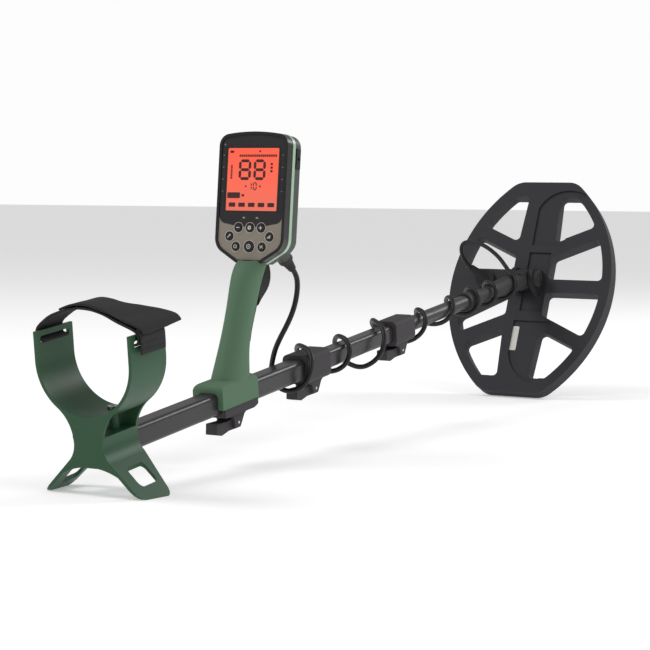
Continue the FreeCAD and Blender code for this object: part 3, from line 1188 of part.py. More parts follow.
def build_coil():
    """The coil: shell with its ears, windings, cover, gland, and the bolt and nut that hold it."""
    frame = frame_of_coil()
    low = "-coil_below - coil_thick"
    shell = new_body("coil_shell")
    coil_plate(shell, "shell_plate", low, "coil_thick")
    for name, corners in (
        ("spine_recess", [("-7", "-40"), ("24", "-40"), ("24", "45"), ("-7", "45")]),
        ("upper_recess", [("-6", "56"), ("40", "56"), ("40", "127"), ("58", "126"), ("61", "131"),
                          ("29", "137", "60"), ("-6", "110", "42")]),
        ("lower_recess", [("-12", "-54"), ("-12", "-98"), ("26", "-141", "52"), ("40", "-133"), ("40", "-54")]),
    ):
        recess = sketch_on(shell, f"{name}_sketch", "XY_Plane", "-coil_below - recess_depth")
        outline(recess, corners)
        grow(shell, "Pocket", name, recess, "recess_depth", reverse=True)
    for name, start in (("right_ear", "ear_inner"), ("left_ear", "-(ear_outer)")):
        ear = sketch_on(shell, f"{name}_sketch", "YZ_Plane", start)
        foot = "-coil_below - recess_depth - 1"
        outline(ear, [
            ("-ear_radius - 5", foot), ("ear_radius + 5", foot), ("ear_radius", "0"),
            ("0", "ear_radius", "ear_radius"), ("-ear_radius", "0", "ear_radius"),
        ])
        grow(shell, "Pad", name, ear, "ear_thick")
    hole = sketch_on(shell, "bolt_hole_sketch", "YZ_Plane")
    circle(hole, "bolt_radius + pivot_gap")
    grow(shell, "Pocket", "bolt_hole", hole, "6 * ear_thick + 40", both=True)
    winding_ring(shell, "transmit_groove", "-", low, "10.2", "0.3", "Pocket")
    winding_ring(shell, "receive_groove", "", low, "5.2", "0.3", "Pocket")
    piece("coil_shell", shell, frame)
    cover = new_body("coil_cover")
    coil_plate(cover, "cover_plate", f"{low} - cover_thick", "cover_thick")
    piece("coil_cover", cover, frame)
    for name, side, up in (("transmit_winding", "-", "5.3"), ("receive_winding", "", "0.3")):
        winding = new_body(name)
        winding_ring(winding, f"{name}_ring", side, f"{low} + {up}", "4.5", "0", "Pad")
        piece(name, winding, frame)

    base = rod("gland_base", "13", "5", "gland_across", "gland_up", "-coil_below", Rotation())
    lean = Rotation(Vector(0, 0, 1), Vector(*GLAND_WAY))
    boot = taper("gland_boot", "lead_radius + 5", "lead_radius + 1.6", "27", "gland_across", "gland_up",
                 "-coil_below + 1", lean)
    below = box("gland_below", "60", "60", "20", across="gland_across", along="gland_up - 30", up="-coil_below - 20")
    piece("coil_gland", without("coil_gland_cut", joined("coil_gland_solid", base, boot), below), frame)

    gap = "slide_gap"
    shank = rod("bolt_shank", "bolt_radius", "2 * (ear_outer) + 6", "-(ear_outer) - 5", turn=ACROSS)
    head = rod("bolt_head", "head_radius", "4.5", f"ear_outer + {gap}", turn=ACROSS)
    dish = rod("bolt_dish", "head_radius * 0.66", "3", f"ear_outer + {gap} + 3.6", turn=ACROSS)
    piece("tilt_bolt", without("tilt_bolt_cut", joined("tilt_bolt_solid", shank, head), dish), frame)
    nut = rod("nut_disc", "head_radius", "8", f"-(ear_outer) - {gap} - 8", turn=ACROSS)
    bore = rod("nut_bore", "bolt_radius + pivot_gap", "6", f"-(ear_outer) - {gap} - 6 + 1", turn=ACROSS)
    notches = []
    for index in range(8):
        angle = 2 * math.pi * index / 8
        notches.append(rod(f"nut_notch_{index}", "2.2", "9", f"-(ear_outer) - {gap} - 8.5",
                           f"(head_radius + 1) * {math.cos(angle):.6f}",
                           f"(head_radius + 1) * {math.sin(angle):.6f}", ACROSS))
    piece("tilt_nut", without("tilt_nut_cut", nut, bore, *notches), frame)


# ---------------------------------------------------------------- coil lead

GLAND_WAY = (-0.57, 0.33, 0.75)

# The free run from the pod's plug down to the tube: across, along the shaft, above the tube axis.
DROP_ROUTE = (
    (19.5, 348.5, 98.0), (17.8, 349.5, 85.0), (14.5, 347.0, 69.0), (8.0, 343.0, 53.0), (-2.0, 342.0, 37.0),
    (-11.0, 345.0, 22.0),
)

# The wound run: turns round the shaft, place along it, and distance from its axis. Whole turns are on top;
# the lead goes down on the left and up on the right.
WOUND_ROUTE = (
    (-0.75, 349.0, 18.5), (-0.5, 352.0, 19.5), (-0.25, 362.0, 22.0), (-0.125, 374.0, 24.6), (0.0, 386.0, 22.2),
    (0.125, 402.0, 24.6), (0.25, 421.0, 20.5), (0.5, 447.0, 17.4), (1.0, 473.0, 16.6), (1.25, 495.0, 20.0),
    (1.5, 517.0, 27.5), (1.75, 538.0, 20.0), (2.0, 558.0, 18.0), (2.125, 576.0, 22.4), (2.25, 598.0, 20.6),
    (2.375, 621.0, 23.8), (2.5, 640.0, 20.2), (2.625, 650.0, 16.4), (3.0, 670.0, 13.2), (3.5, 717.0, 13.2),
    (4.0, 760.0, 13.2), (4.5, 800.0, 15.6), (5.0, 822.0, 15.4), (5.5, 862.0, 14.4), (6.0, 880.0, 13.6),
    (6.5, 917.0, 15.4), (7.0, 949.0, 15.8),
)
POINTS_PER_TURN = 12

# From the top of the rod end, over and down to the gland: across, along the shaft, above the tube axis.
TAIL_ROUTE = (
    (-10.0, 962.0, 20.0), (-24.0, 970.0, 33.0), (-45.0, 976.0, 46.0), (-68.0, 981.0, 52.0), (-86.0, 985.0, 46.0),
)

# The lead is divided where these turns are reached, so that each length rides with its own part of the shaft.
LEAD_CUTS = (-0.75, 2.25, 4.5)


def wound_point(turns):
    """A point of the wound run."""
    for first, last in zip(WOUND_ROUTE, WOUND_ROUTE[1:]):
        if turns <= last[0]:
            break
    share = (turns - first[0]) / (last[0] - first[0])
    along = first[1] + share * (last[1] - first[1])
    radius = first[2] + share * (last[2] - first[2])
    angle = 2 * math.pi * turns
    return Vector(-radius * math.sin(angle), along, radius * math.cos(angle))


def plug_end():
    """The first two points of the lead: where it leaves the boot of its plug, and straight on from there."""
    return [frame_of_pod().multVec(Vector(
        size("plug_across"),
        size(f"-plug_up - sin(plug_tilt) * (plug_depth + boot_length + {reach})"),
        size(f"-plug_depth - cos(plug_tilt) * (plug_depth + boot_length + {reach})"),
    )) for reach in (3, 11)]


def gland_end():
    """The last two points of the lead: straight out of the gland's boot, and its tip."""
    foot = Vector(size("gland_across"), size("gland_up"), size("-coil_below + 1"))
    way = Vector(*GLAND_WAY).normalize()
    return [frame_of_coil().multVec(foot + way * 42), frame_of_coil().multVec(foot + way * 27)]


def lead_lengths():
    """The route of the lead in four lengths. Each cut is in the middle of a straight run."""
    first, last = WOUND_ROUTE[0][0], WOUND_ROUTE[-1][0]
    steps = round((last - first) * POINTS_PER_TURN)
    wound = [wound_point(first + index / POINTS_PER_TURN) for index in range(steps + 1)]
    free = plug_end() + [Vector(*point) for point in DROP_ROUTE]
    whole = free + wound + [Vector(*point) for point in TAIL_ROUTE] + gland_end()
    lengths = []
    start = [whole[0]]
    done = 1
    for turns in LEAD_CUTS:
        run = len(free) + round((turns - first) * POINTS_PER_TURN)
        middle = (whole[run - 1] + whole[run]) * 0.5
        lengths.append(start + whole[done:run] + [middle])
        start = [middle]
        done = run
    lengths.append(start + whole[done:])
    return lengths


def run_with_arcs(points, ratio=0.45, cut_start=False, cut_end=False):
    """A wire of straight runs joined by tangent arcs, and its smallest radius. At a cut the run is half a run."""
    runs = [(after - before).Length for before, after in zip(points, points[1:])]
    if cut_start:
        runs[0] *= 2
    if cut_end:
        runs[-1] *= 2
    edges = []
    radii = []
    start = points[0]
    for index in range(1, len(points) - 1):
        before, corner, after = points[index - 1:index + 2]
        arriving = (corner - before).normalize()
        leaving = (after - corner).normalize()
        reach = ratio * min(runs[index - 1], runs[index])
        radius = reach / math.tan(arriving.getAngle(leaving) / 2)
        bisector = (leaving - arriving).normalize()
        middle = corner + bisector * (math.hypot(radius, reach) - radius)
        first, last = corner - arriving * reach, corner + leaving * reach
        edges.append(Part.LineSegment(start, first).toShape())
        edges.append(Part.Arc(first, middle, last).toShape())
        radii.append(radius)
        start = last
    edges.append(Part.LineSegment(start, points[-1]).toShape())
    return Part.Wire(edges), min(radii)


def build_lead():
    """The lead from the pod's plug to the coil's gland, in four lengths that meet on the shaft."""
    radius = size("lead_radius")
    labels = ("lead_drop", "lead_upper", "lead_middle", "lead_lower")
    for label, points in zip(labels, lead_lengths()):
        wire, bend = run_with_arcs(points, cut_start=label != labels[0], cut_end=label != labels[-1])
        section = Part.Wire([Part.makeCircle(radius, points[0], (points[1] - points[0]).normalize())])
        tube = wire.makePipeShell([section], True, False)
        expected = math.pi * radius * radius * wire.Length
        print(f"{label}: length {wire.Length:.1f} mm, tightest bend {bend:.1f} mm, "
              f"volume {tube.Volume:.0f} of {expected:.0f} mm3")
        solid_piece(label, tube)


# ---------------------------------------------------------------- standing it up


def stance_angle():
    """Slope of the shaft, in radians, when the detector stands on its feet and on the coil's lower end."""
    edge = frame_of_coil().multVec(Vector(
        0, size("-coil_offset - coil_length / 2"), size("-coil_below - coil_thick - cover_thick")))
    return math.atan2(-(edge.z + size("foot_drop")), edge.y)


def stand_up():
    """Turn every piece to the stance, and centre the whole along +Y over the origin."""
    slope = stance_angle()
    lift = size("foot_drop") * math.cos(slope)
    tilt = Rotation(Vector(1, 0, 0), math.degrees(slope))

    def place_all(shift):
        for thing, local in PIECES:
            thing.Placement = Placement(Vector(0, shift, lift), tilt).multiply(local)

    place_all(0.0)
    document.recompute()
    boxes = [thing.Shape.optimalBoundingBox(False, False) for thing, _ in PIECES]
    shift = -(min(item.YMin for item in boxes) + max(item.YMax for item in boxes)) / 2
    place_all(shift)
    document.recompute()
    return Placement(Vector(0, shift, lift), tilt)


def report_places(stance):
    """Print the axes and pivots of the moving pieces, in the finished frame."""
    pod, coil = frame_of_pod(), frame_of_coil()
    places = {
        "tilt": coil.multVec(Vector()),
        "plug_ring": pod.multVec(Vector(size("plug_across"), -size("plug_up"), -size("plug_depth"))),
        "jack": pod.multVec(Vector(size("pod_width / 2 + 1.2"), size("port_up"),
                                   size("front_at - trim_depth - 5.5"))),
        "plug_end": plug_end()[0],
        "gland_tip": gland_end()[-1],
    }
    for prefix, along, drop in (
        ("lock_lever_mid", "lock_mid_start + lock_pin_at", "middle_side / 2 + lock_pin_drop"),
        ("lock_lever_low", "lock_low_start + lock_pin_at", "lower_radius + lock_pin_drop"),
        ("clamp_lever", "clamp_start + lock_pin_at + 8", "upper_side / 2 + lock_pin_drop"),
    ):
        places[prefix] = Vector(0, size(along), -size(drop))
    for name, place in places.items():
        point = stance.multVec(place)
        print(f"PLACE {name} {point.x:.3f} {point.y:.3f} {point.z:.3f}")
    for name, axis in (
        ("shaft", Vector(0, 1, 0)),
        ("key", pod.Rotation.multVec(Vector(0, 0, -1))),
        ("plug", pod.Rotation.multVec(Vector(0, -math.sin(math.radians(size("plug_tilt"))),
                                             -math.cos(math.radians(size("plug_tilt")))))),
    ):
        way = stance.Rotation.multVec(axis)
        print(f"AXIS {name} {way.x:.6f} {way.y:.6f} {way.z:.6f}")


def write_pieces():
    """Check every object, then write each piece to its own file."""
    for thing in document.Objects:
        if {"Invalid", "Error"} & set(thing.State):
            raise RuntimeError(f"{thing.Name}: {thing.State}")
    os.makedirs("parts", exist_ok=True)
    for thing, _ in PIECES:
        shape = thing.Shape
        if shape.isNull() or not shape.isValid() or not shape.Solids:
            raise RuntimeError(f"{thing.Label}: not a valid solid")
        shape.exportStep(f"parts/{thing.Label}.step")
        print(f"{thing.Label}: {len(shape.Solids)} solid(s), {shape.Volume:.0f} mm3")


build_tubes()
build_armrest()
build_armrest_fittings()
build_cam_locks()
pod_room = build_pod()
document.recompute()
build_handle(pod_room.Shape.transformed(frame_of_pod().toMatrix()))
piece("clamp_screws", build_clamp())
build_rod_end()
build_coil()
build_lead()
document.recompute()
standing = stand_up()
report_places(standing)
write_pieces()
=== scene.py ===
"""Metal detector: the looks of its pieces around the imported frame."""

import json
import logging
import math
from dataclasses import dataclass, field
from enum import Enum

import bpy
from mathutils import Matrix, Vector


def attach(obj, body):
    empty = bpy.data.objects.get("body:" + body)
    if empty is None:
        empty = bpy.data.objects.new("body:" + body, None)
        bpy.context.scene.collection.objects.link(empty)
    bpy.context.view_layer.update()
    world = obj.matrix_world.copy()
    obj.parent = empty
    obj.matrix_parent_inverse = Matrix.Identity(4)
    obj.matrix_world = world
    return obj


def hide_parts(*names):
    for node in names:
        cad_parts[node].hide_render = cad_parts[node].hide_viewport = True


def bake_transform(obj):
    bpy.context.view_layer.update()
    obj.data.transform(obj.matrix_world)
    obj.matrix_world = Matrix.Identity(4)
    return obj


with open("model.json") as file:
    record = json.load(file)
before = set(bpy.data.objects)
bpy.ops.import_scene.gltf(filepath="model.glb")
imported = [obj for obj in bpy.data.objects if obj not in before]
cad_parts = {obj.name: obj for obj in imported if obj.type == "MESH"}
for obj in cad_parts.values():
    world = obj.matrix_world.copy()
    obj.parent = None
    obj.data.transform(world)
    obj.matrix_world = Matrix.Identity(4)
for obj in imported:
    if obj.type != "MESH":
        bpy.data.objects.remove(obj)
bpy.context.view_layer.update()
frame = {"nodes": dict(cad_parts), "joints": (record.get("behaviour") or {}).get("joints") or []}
MM = 0.001
LOG = logging.getLogger("metal_detector")

JOINTS = {joint["name"]: joint for joint in frame["joints"]}
ALONG = Vector(JOINTS["middle_slide"]["axis"])
TILT = Vector(JOINTS["coil_tilt"]["pos_m"])
SLOPE = math.atan2(ALONG.z, ALONG.y)

# The shaft's frame starts one metre behind the coil's bolt, on the tubes' axis.
POD_PLACE = (0, 0.302, 0.207)
POD_LEAN = 78.5
COIL_PLACE = (0, 1.0, 0)
COIL_LEAN = 59
SHAFT = Matrix.Translation(TILT - ALONG.normalized()) @ Matrix.Rotation(SLOPE, 4, "X")
POD = SHAFT @ Matrix.Translation(POD_PLACE) @ Matrix.Rotation(math.radians(POD_LEAN), 4, "X")
COIL = SHAFT @ Matrix.Translation(COIL_PLACE) @ Matrix.Rotation(math.radians(COIL_LEAN), 4, "X")

Point = tuple[float, float]
Place = tuple[float, float, float]
Rings = list[list[Point]]


class Grain(Enum):
    """How the fine relief of a finish runs."""

    STIPPLE = "stipple"
    BRUSHED = "brushed"
    WEAVE = "weave"


def linear(code: str, alpha: float = 1.0) -> tuple[float, float, float, float]:
    """Turn a colour code into linear light.

    Args:
        code: Colour as #rrggbb.
        alpha: Fourth value of the result.

    Returns:
        Red, green, blue and alpha.
    """
    parts = [int(code[i:i + 2], 16) / 255 for i in (1, 3, 5)]
    return (*[c / 12.92 if c <= 0.04045 else ((c + 0.055) / 1.055) ** 2.4 for c in parts], alpha)


@dataclass(frozen=True)
class Finish:
    """A moulded, painted, woven or brushed surface."""

    name: str
    colour: str
    shade: str
    roughness: float = 0.5
    grain: Grain = Grain.STIPPLE
    fineness: float = 1600.0
    depth: float = 0.15
    metallic: float = 0.0
    coat: float = 0.0
    sheen: float = 0.0
    # Share of the edges lightened, partly as edge wear and partly as a painted highlight.
    edge_wear_and_highlight: float = 0.12
    gloss: float = 0.32
    rounding: float = 0.35

    def make(self) -> bpy.types.Material:
        """Build the material.

        Returns:
            The node material, ready for a slot.
        """
        material = bpy.data.materials.get(self.name)
        if material:
            return material
        material = bpy.data.materials.new(self.name)
        material.use_nodes = True
        tree = material.node_tree
        link = tree.links.new
        shader = tree.nodes["Principled BSDF"]
        shader.inputs["Metallic"].default_value = self.metallic
        shader.inputs["Coat Weight"].default_value = self.coat
        shader.inputs["Coat Roughness"].default_value = 0.12
        shader.inputs["Sheen Weight"].default_value = self.sheen
        shader.inputs["Specular IOR Level"].default_value = self.gloss
        place = tree.nodes.new("ShaderNodeTexCoord")
        turned = tree.nodes.new("ShaderNodeMapping")
        turned.vector_type = "TEXTURE"
        turned.inputs["Rotation"].default_value = (SLOPE, 0, 0)
        link(place.outputs["Object"], turned.inputs["Vector"])

        cloud = tree.nodes.new("ShaderNodeTexNoise")
        cloud.inputs["Scale"].default_value = 38.0
        cloud.inputs["Detail"].default_value = 6.0
        cloud.inputs["Roughness"].default_value = 0.62
        link(turned.outputs["Vector"], cloud.inputs["Vector"])
        tone = tree.nodes.new("ShaderNodeMix")
        tone.data_type = "RGBA"
        tone.inputs["A"].default_value = linear(self.colour)
        tone.inputs["B"].default_value = linear(self.shade)
        link(cloud.outputs["Fac"], tone.inputs["Factor"])

        fine = self.relief(tree, turned)
        level = tree.nodes.new("ShaderNodeMapRange")
        level.inputs["To Min"].default_value = max(self.roughness - 0.09, 0.02)
        level.inputs["To Max"].default_value = min(self.roughness + 0.11, 1.0)
        link(cloud.outputs["Fac"], level.inputs["Value"])
        link(level.outputs["Result"], shader.inputs["Roughness"])

        soft = tree.nodes.new("ShaderNodeBevel")
        soft.samples = 4
        soft.inputs["Radius"].default_value = self.rounding * MM
        bump = tree.nodes.new("ShaderNodeBump")
        bump.inputs["Strength"].default_value = self.depth
        bump.inputs["Distance"].default_value = 0.0003
        link(fine, bump.inputs["Height"])
        link(soft.outputs["Normal"], bump.inputs["Normal"])
        link(bump.outputs["Normal"], shader.inputs["Normal"])

        edge = self.wear_and_highlight_mask(tree, soft, cloud)
        # Sharp edges take a lighter colour: partly edge wear, partly a painted highlight.
        wear_and_highlight = tree.nodes.new("ShaderNodeMix")
        wear_and_highlight.data_type = "RGBA"
        wear_and_highlight.inputs["B"].default_value = tuple(min(1.0, c * 2.2 + 0.03) for c in linear(self.colour))
        link(edge, wear_and_highlight.inputs["Factor"])
        link(tone.outputs["Result"], wear_and_highlight.inputs["A"])
        link(wear_and_highlight.outputs["Result"], shader.inputs["Base Color"])
        return material

    def wear_and_highlight_mask(self, tree: bpy.types.NodeTree, soft: bpy.types.Node,
                  cloud: bpy.types.Node) -> bpy.types.NodeSocket:
        """Find where the surface turns sharply, broken up by a cloud, for edge wear and a painted highlight.

        Args:
            tree: Node tree being built.
            soft: Node with the softened normal.
            cloud: Noise that breaks the wear up.

        Returns:
            A socket from 0 to the finish's share of edge wear and painted highlight.
        """
        link = tree.links.new
        sharp = tree.nodes.new("ShaderNodeNewGeometry")
        turn = tree.nodes.new("ShaderNodeVectorMath")
        turn.operation = "DOT_PRODUCT"
        link(soft.outputs["Normal"], turn.inputs[0])
        link(sharp.outputs["Normal"], turn.inputs[1])
        band = tree.nodes.new("ShaderNodeMapRange")
        band.inputs["From Min"].default_value = 0.995
        band.inputs["From Max"].default_value = 0.80
        link(turn.outputs["Value"], band.inputs["Value"])
        share = tree.nodes.new("ShaderNodeMath")
        share.operation = "MULTIPLY"
        link(band.outputs["Result"], share.inputs[0])
        link(cloud.outputs["Fac"], share.inputs[1])
        amount = tree.nodes.new("ShaderNodeMath")
        amount.operation = "MULTIPLY"
        amount.inputs[1].default_value = self.edge_wear_and_highlight * 2
        link(share.outputs["Value"], amount.inputs[0])
        return amount.outputs["Value"]

    def relief(self, tree: bpy.types.NodeTree, turned: bpy.types.Node) -> bpy.types.NodeSocket:
        """Add the fine relief in the way that the grain runs.

        Args:
            tree: Node tree being built.
            turned: Node that gives places along the shaft.

        Returns:
            A height socket.
        """
        link = tree.links.new
        if self.grain is Grain.WEAVE:
            heights = []
            for axis in ("X", "Y"):
                wave = tree.nodes.new("ShaderNodeTexWave")
                wave.bands_direction = axis
                wave.inputs["Scale"].default_value = self.fineness
                wave.inputs["Distortion"].default_value = 0.6
                link(turned.outputs["Vector"], wave.inputs["Vector"])
                heights.append(wave.outputs["Fac"])
            cross = tree.nodes.new("ShaderNodeMath")
            cross.operation = "MULTIPLY"
            link(heights[0], cross.inputs[0])
            link(heights[1], cross.inputs[1])
            return cross.outputs["Value"]
        fine = tree.nodes.new("ShaderNodeTexNoise")
        fine.inputs["Detail"].default_value = 3.0
        if self.grain is Grain.BRUSHED:
            drawn = tree.nodes.new("ShaderNodeMapping")
            drawn.inputs["Scale"].default_value = (1.0, 0.012, 1.0)
            link(turned.outputs["Vector"], drawn.inputs["Vector"])
            link(drawn.outputs["Vector"], fine.inputs["Vector"])
        else:
            link(turned.outputs["Vector"], fine.inputs["Vector"])
        fine.inputs["Scale"].default_value = self.fineness
        return fine.outputs["Fac"]


@dataclass(frozen=True)
class Glow:
    """The lit face of the display, which fades from its top to its foot."""

    name: str = "display_glow"
    high: str = "#ff5a3f"
    low: str = "#dc6a55"
    strength: float = 0.35

    def make(self) -> bpy.types.Material:
        """Build the material.

        Returns:
            The node material.
        """
        material = bpy.data.materials.get(self.name) or bpy.data.materials.new(self.name)
        material.use_nodes = True
        tree = material.node_tree
        link = tree.links.new
        shader = tree.nodes["Principled BSDF"]
        shader.inputs["Roughness"].default_value = 0.28
        shader.inputs["Coat Weight"].default_value = 0.5
        place = tree.nodes.new("ShaderNodeTexCoord")
        parts = tree.nodes.new("ShaderNodeSeparateXYZ")
        link(place.outputs["Object"], parts.inputs["Vector"])
        rise = tree.nodes.new("ShaderNodeMapRange")
        rise.inputs["From Min"].default_value = POD.translation.z - 0.031
        rise.inputs["From Max"].default_value = POD.translation.z + 0.031
        link(parts.outputs["Z"], rise.inputs["Value"])
        cloud = tree.nodes.new("ShaderNodeTexNoise")
        cloud.inputs["Scale"].default_value = 45.0
        link(place.outputs["Object"], cloud.inputs["Vector"])
        soft = tree.nodes.new("ShaderNodeMath")
        soft.operation = "MULTIPLY_ADD"
        soft.inputs[1].default_value = 0.22
        link(cloud.outputs["Fac"], soft.inputs[0])
        link(rise.outputs["Result"], soft.inputs[2])
        tone = tree.nodes.new("ShaderNodeMix")
        tone.data_type = "RGBA"
        tone.inputs["A"].default_value = linear(self.low)
        tone.inputs["B"].default_value = linear(self.high)
        link(soft.outputs["Value"], tone.inputs["Factor"])
        link(tone.outputs["Result"], shader.inputs["Base Color"])
        link(tone.outputs["Result"], shader.inputs["Emission Color"])
        shader.inputs["Emission Strength"].default_value = self.strength
        return material


TUBE_PAINT = Finish("tube_paint", "#2a2729", "#353234", 0.40, Grain.BRUSHED, 900, 0.12, 0.2, 0.2, edge_wear_and_highlight=0.25)
COMPOSITE = Finish("composite_tube", "#2b282a", "#363335", 0.44, Grain.BRUSHED, 1400, 0.14, 0.0, 0.2)
ARMREST_GREEN = Finish("armrest_green", "#234a2f", "#2d553a", 0.40, fineness=1500, depth=0.16, edge_wear_and_highlight=0.3)
GRIP_GREEN = Finish("grip_green", "#486a4e", "#527358", 0.42, fineness=1500, depth=0.18, edge_wear_and_highlight=0.15)
TRIM_GREEN = Finish("trim_green", "#6f8e74", "#7b987e", 0.45, fineness=1500, depth=0.1)
BLACK_PLASTIC = Finish("black_plastic", "#141214", "#1c1a1c", 0.42, fineness=1300, depth=0.2, edge_wear_and_highlight=0.3)
LOCK_PLASTIC = Finish("lock_plastic", "#121012", "#1b191b", 0.38, fineness=1200, depth=0.16, edge_wear_and_highlight=0.3)
COIL_PLASTIC = Finish("coil_plastic", "#121013", "#1a181c", 0.38, fineness=1100, depth=0.2, coat=0.1,
                      edge_wear_and_highlight=0.35)
REAR_GREY = Finish("rear_grey", "#3f4542", "#4a504c", 0.46, fineness=1400, depth=0.18)
BEZEL_GREY = Finish("bezel_black", "#1b191b", "#242224", 0.34, fineness=1500, depth=0.1, coat=0.15, edge_wear_and_highlight=0.3)
FACE_DARK = Finish("face_dark", "#252223", "#2d2a2b", 0.3, fineness=1700, depth=0.08, coat=0.2)
KEYPAD_GREY = Finish("keypad_grey", "#777061", "#82796b", 0.5, fineness=1700, depth=0.1)
KEY_RUBBER = Finish("key_rubber", "#0f0e0f", "#171516", 0.36, fineness=1500, depth=0.12, edge_wear_and_highlight=0.05)
WINDOW_DARK = Finish("window_dark", "#0a1213", "#0f191b", 0.12, fineness=300, depth=0.01, coat=0.8, edge_wear_and_highlight=0.0)
SOFT_BLACK = Finish("soft_black", "#1a1819", "#232122", 0.6, fineness=1500, depth=0.25, sheen=0.1, edge_wear_and_highlight=0.06)
LEAD_BLACK = Finish("lead_black", "#100f10", "#191818", 0.42, fineness=1800, depth=0.2, edge_wear_and_highlight=0.0,
                    rounding=0.1)
WEBBING = Finish("webbing", "#0b0a0b", "#151415", 0.88, Grain.WEAVE, 330, 0.9, sheen=0.12, edge_wear_and_highlight=0.0,
                 rounding=0.1)
THREAD = Finish("thread", "#1d1b1c", "#262425", 0.8, fineness=3000, depth=0.3, sheen=0.2, edge_wear_and_highlight=0.0,
                rounding=0.05)
STEEL = Finish("bright_steel", "#b9b8b5", "#cfcdc9", 0.24, Grain.BRUSHED, 1500, 0.08, 1.0, edge_wear_and_highlight=0.0)
COPPER = Finish("copper_wire", "#b4683c", "#c8794a", 0.3, Grain.BRUSHED, 1500, 0.2, 1.0, edge_wear_and_highlight=0.0)
BOARD_GREEN = Finish("board_green", "#1d4a2c", "#24593a", 0.4, fineness=700, depth=0.3)
CELL_WRAP = Finish("cell_wrap", "#2c4f7a", "#335a88", 0.35, fineness=600, depth=0.06)
PRINT_PALE = Finish("print_pale", "#c9c6bf", "#d8d5ce", 0.5, fineness=2000, depth=0.05, edge_wear_and_highlight=0.0,
                    rounding=0.02)
PRINT_DIM = Finish("print_dim", "#8f8b86", "#9c9892", 0.5, fineness=2000, depth=0.05, edge_wear_and_highlight=0.0, rounding=0.02)
LCD_INK = Finish("display_ink", "#3a1a1c", "#46201f", 0.35, fineness=1500, depth=0.03, coat=0.5, edge_wear_and_highlight=0.0,
                 rounding=0.02)


# ---------------------------------------------------------------- working on pieces


def clear() -> None:
    """Deselect everything."""
    for other in bpy.context.selected_objects:
        other.select_set(False)


def use(piece: bpy.types.Object) -> None:
    """Make one piece the selected and active one."""
    clear()
    piece.select_set(True)
    bpy.context.view_layer.objects.active = piece


def dress(piece: bpy.types.Object, finish: Finish | Glow) -> None:
    """Give a piece one finish in every slot.

    Args:
        piece: CAD node or new piece.
        finish: What it is finished in.
    """
    material = finish.make()
    if not piece.data.materials:
        piece.data.materials.append(material)
    for index in range(len(piece.data.materials)):
        piece.data.materials[index] = material


def dress_nodes(finish: Finish, *nodes: str) -> None:
    """Give CAD nodes a finish."""
    for node in nodes:
        dress(frame["nodes"][node], finish)


def settle(piece: bpy.types.Object, place: Matrix, smooth: float = 35.0) -> None:
    """Put a piece's place into its mesh and smooth it.

    Args:
        piece: New piece, drawn in its own frame.
        place: Frame that it was drawn in.
        smooth: Edges below this angle are smoothed, in degrees.
    """
    use(piece)
    bpy.ops.object.transform_apply(location=True, rotation=True, scale=True)
    piece.data.transform(place)
    use(piece)
    bpy.ops.object.shade_smooth_by_angle(angle=math.radians(smooth))


def finished(piece: bpy.types.Object, body: str, finish: Finish | Glow) -> bpy.types.Object:
    """Name a piece's finish and body, and report it.

    Args:
        piece: New piece, in place.
        body: CAD body that it rides on.
        finish: What it is finished in.

    Returns:
        The piece.
    """
    dress(piece, finish)
    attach(piece, body)
    LOG.info("%s rides on %s", piece.name, body)
    return piece


def inlay(name: str, rings: Rings, low: float, high: float, place: Matrix) -> bpy.types.Object:
    """A flat mark: closed outlines filled and raised, where an outline inside another is a hole.

    Args:
        name: Name of the piece.
        rings: Outlines, in mm.
        low: Height of its foot, in mm.
        high: Height of its top, in mm.
        place: Frame that it is drawn in.

    Returns:
        The piece as a mesh.
    """
    curve = bpy.data.curves.new(name, "CURVE")
    curve.dimensions = "2D"
    curve.fill_mode = "BOTH"
    curve.extrude = (high - low) / 2 * MM
    for ring in rings:
        spline = curve.splines.new("POLY")
        spline.points.add(len(ring) - 1)
        for corner, (across, up) in zip(spline.points, ring):
            corner.co = (across * MM, up * MM, 0, 1)
        spline.use_cyclic_u = True
    piece = bpy.data.objects.new(name, curve)
    bpy.context.scene.collection.objects.link(piece)
    use(piece)
    bpy.ops.object.convert(target="MESH")
    piece = bpy.context.view_layer.objects.active
    piece.location = (0, 0, (low + high) / 2 * MM)
    settle(piece, place)
    return piece


def disc(across: float, up: float, radius: float, points: int = 40) -> list[Point]:
    """Outline of a disc."""
    return [(across + radius * math.cos(2 * math.pi * i / points),
             up + radius * math.sin(2 * math.pi * i / points)) for i in range(points)]


def arc_band(across: float, up: float, radius: float, wide: float, start: float, end: float) -> list[Point]:
    """Outline of a part of a ring, from start to end in degrees."""
    turns = [math.radians(start + (end - start) * i / 24) for i in range(25)]
    outer = [(across + (radius + wide / 2) * math.cos(t),
              up + (radius + wide / 2) * math.sin(t)) for t in turns]
    inner = [(across + (radius - wide / 2) * math.cos(t),
              up + (radius - wide / 2) * math.sin(t)) for t in turns]
    return outer + inner[::-1]


def bar(left: float, low: float, right: float, high: float) -> list[Point]:
    """Outline of a bar."""
    return [(left, low), (right, low), (right, high), (left, high)]


def stroke(start: Point, end: Point, wide: float) -> list[Point]:
    """Outline of a straight stroke."""
    run = Vector((end[0] - start[0], end[1] - start[1])).normalized() * wide / 2
    side = Vector((-run.y, run.x))
    return [(start[0] - side.x, start[1] - side.y), (end[0] - side.x, end[1] - side.y),
            (end[0] + side.x, end[1] + side.y), (start[0] + side.x, start[1] + side.y)]


def rounded(left: float, low: float, right: float, high: float, corner: float) -> list[Point]:
    """Outline of a bar with rounded corners."""
    points = []
    for across, up, first in ((right - corner, low + corner, -90), (right - corner, high - corner, 0),
                              (left + corner, high - corner, 90), (left + corner, low + corner, 180)):
        for step in range(7):
            turn = math.radians(first + 15 * step)
            points.append((across + corner * math.cos(turn), up + corner * math.sin(turn)))
    return points


# ---------------------------------------------------------------- the lead


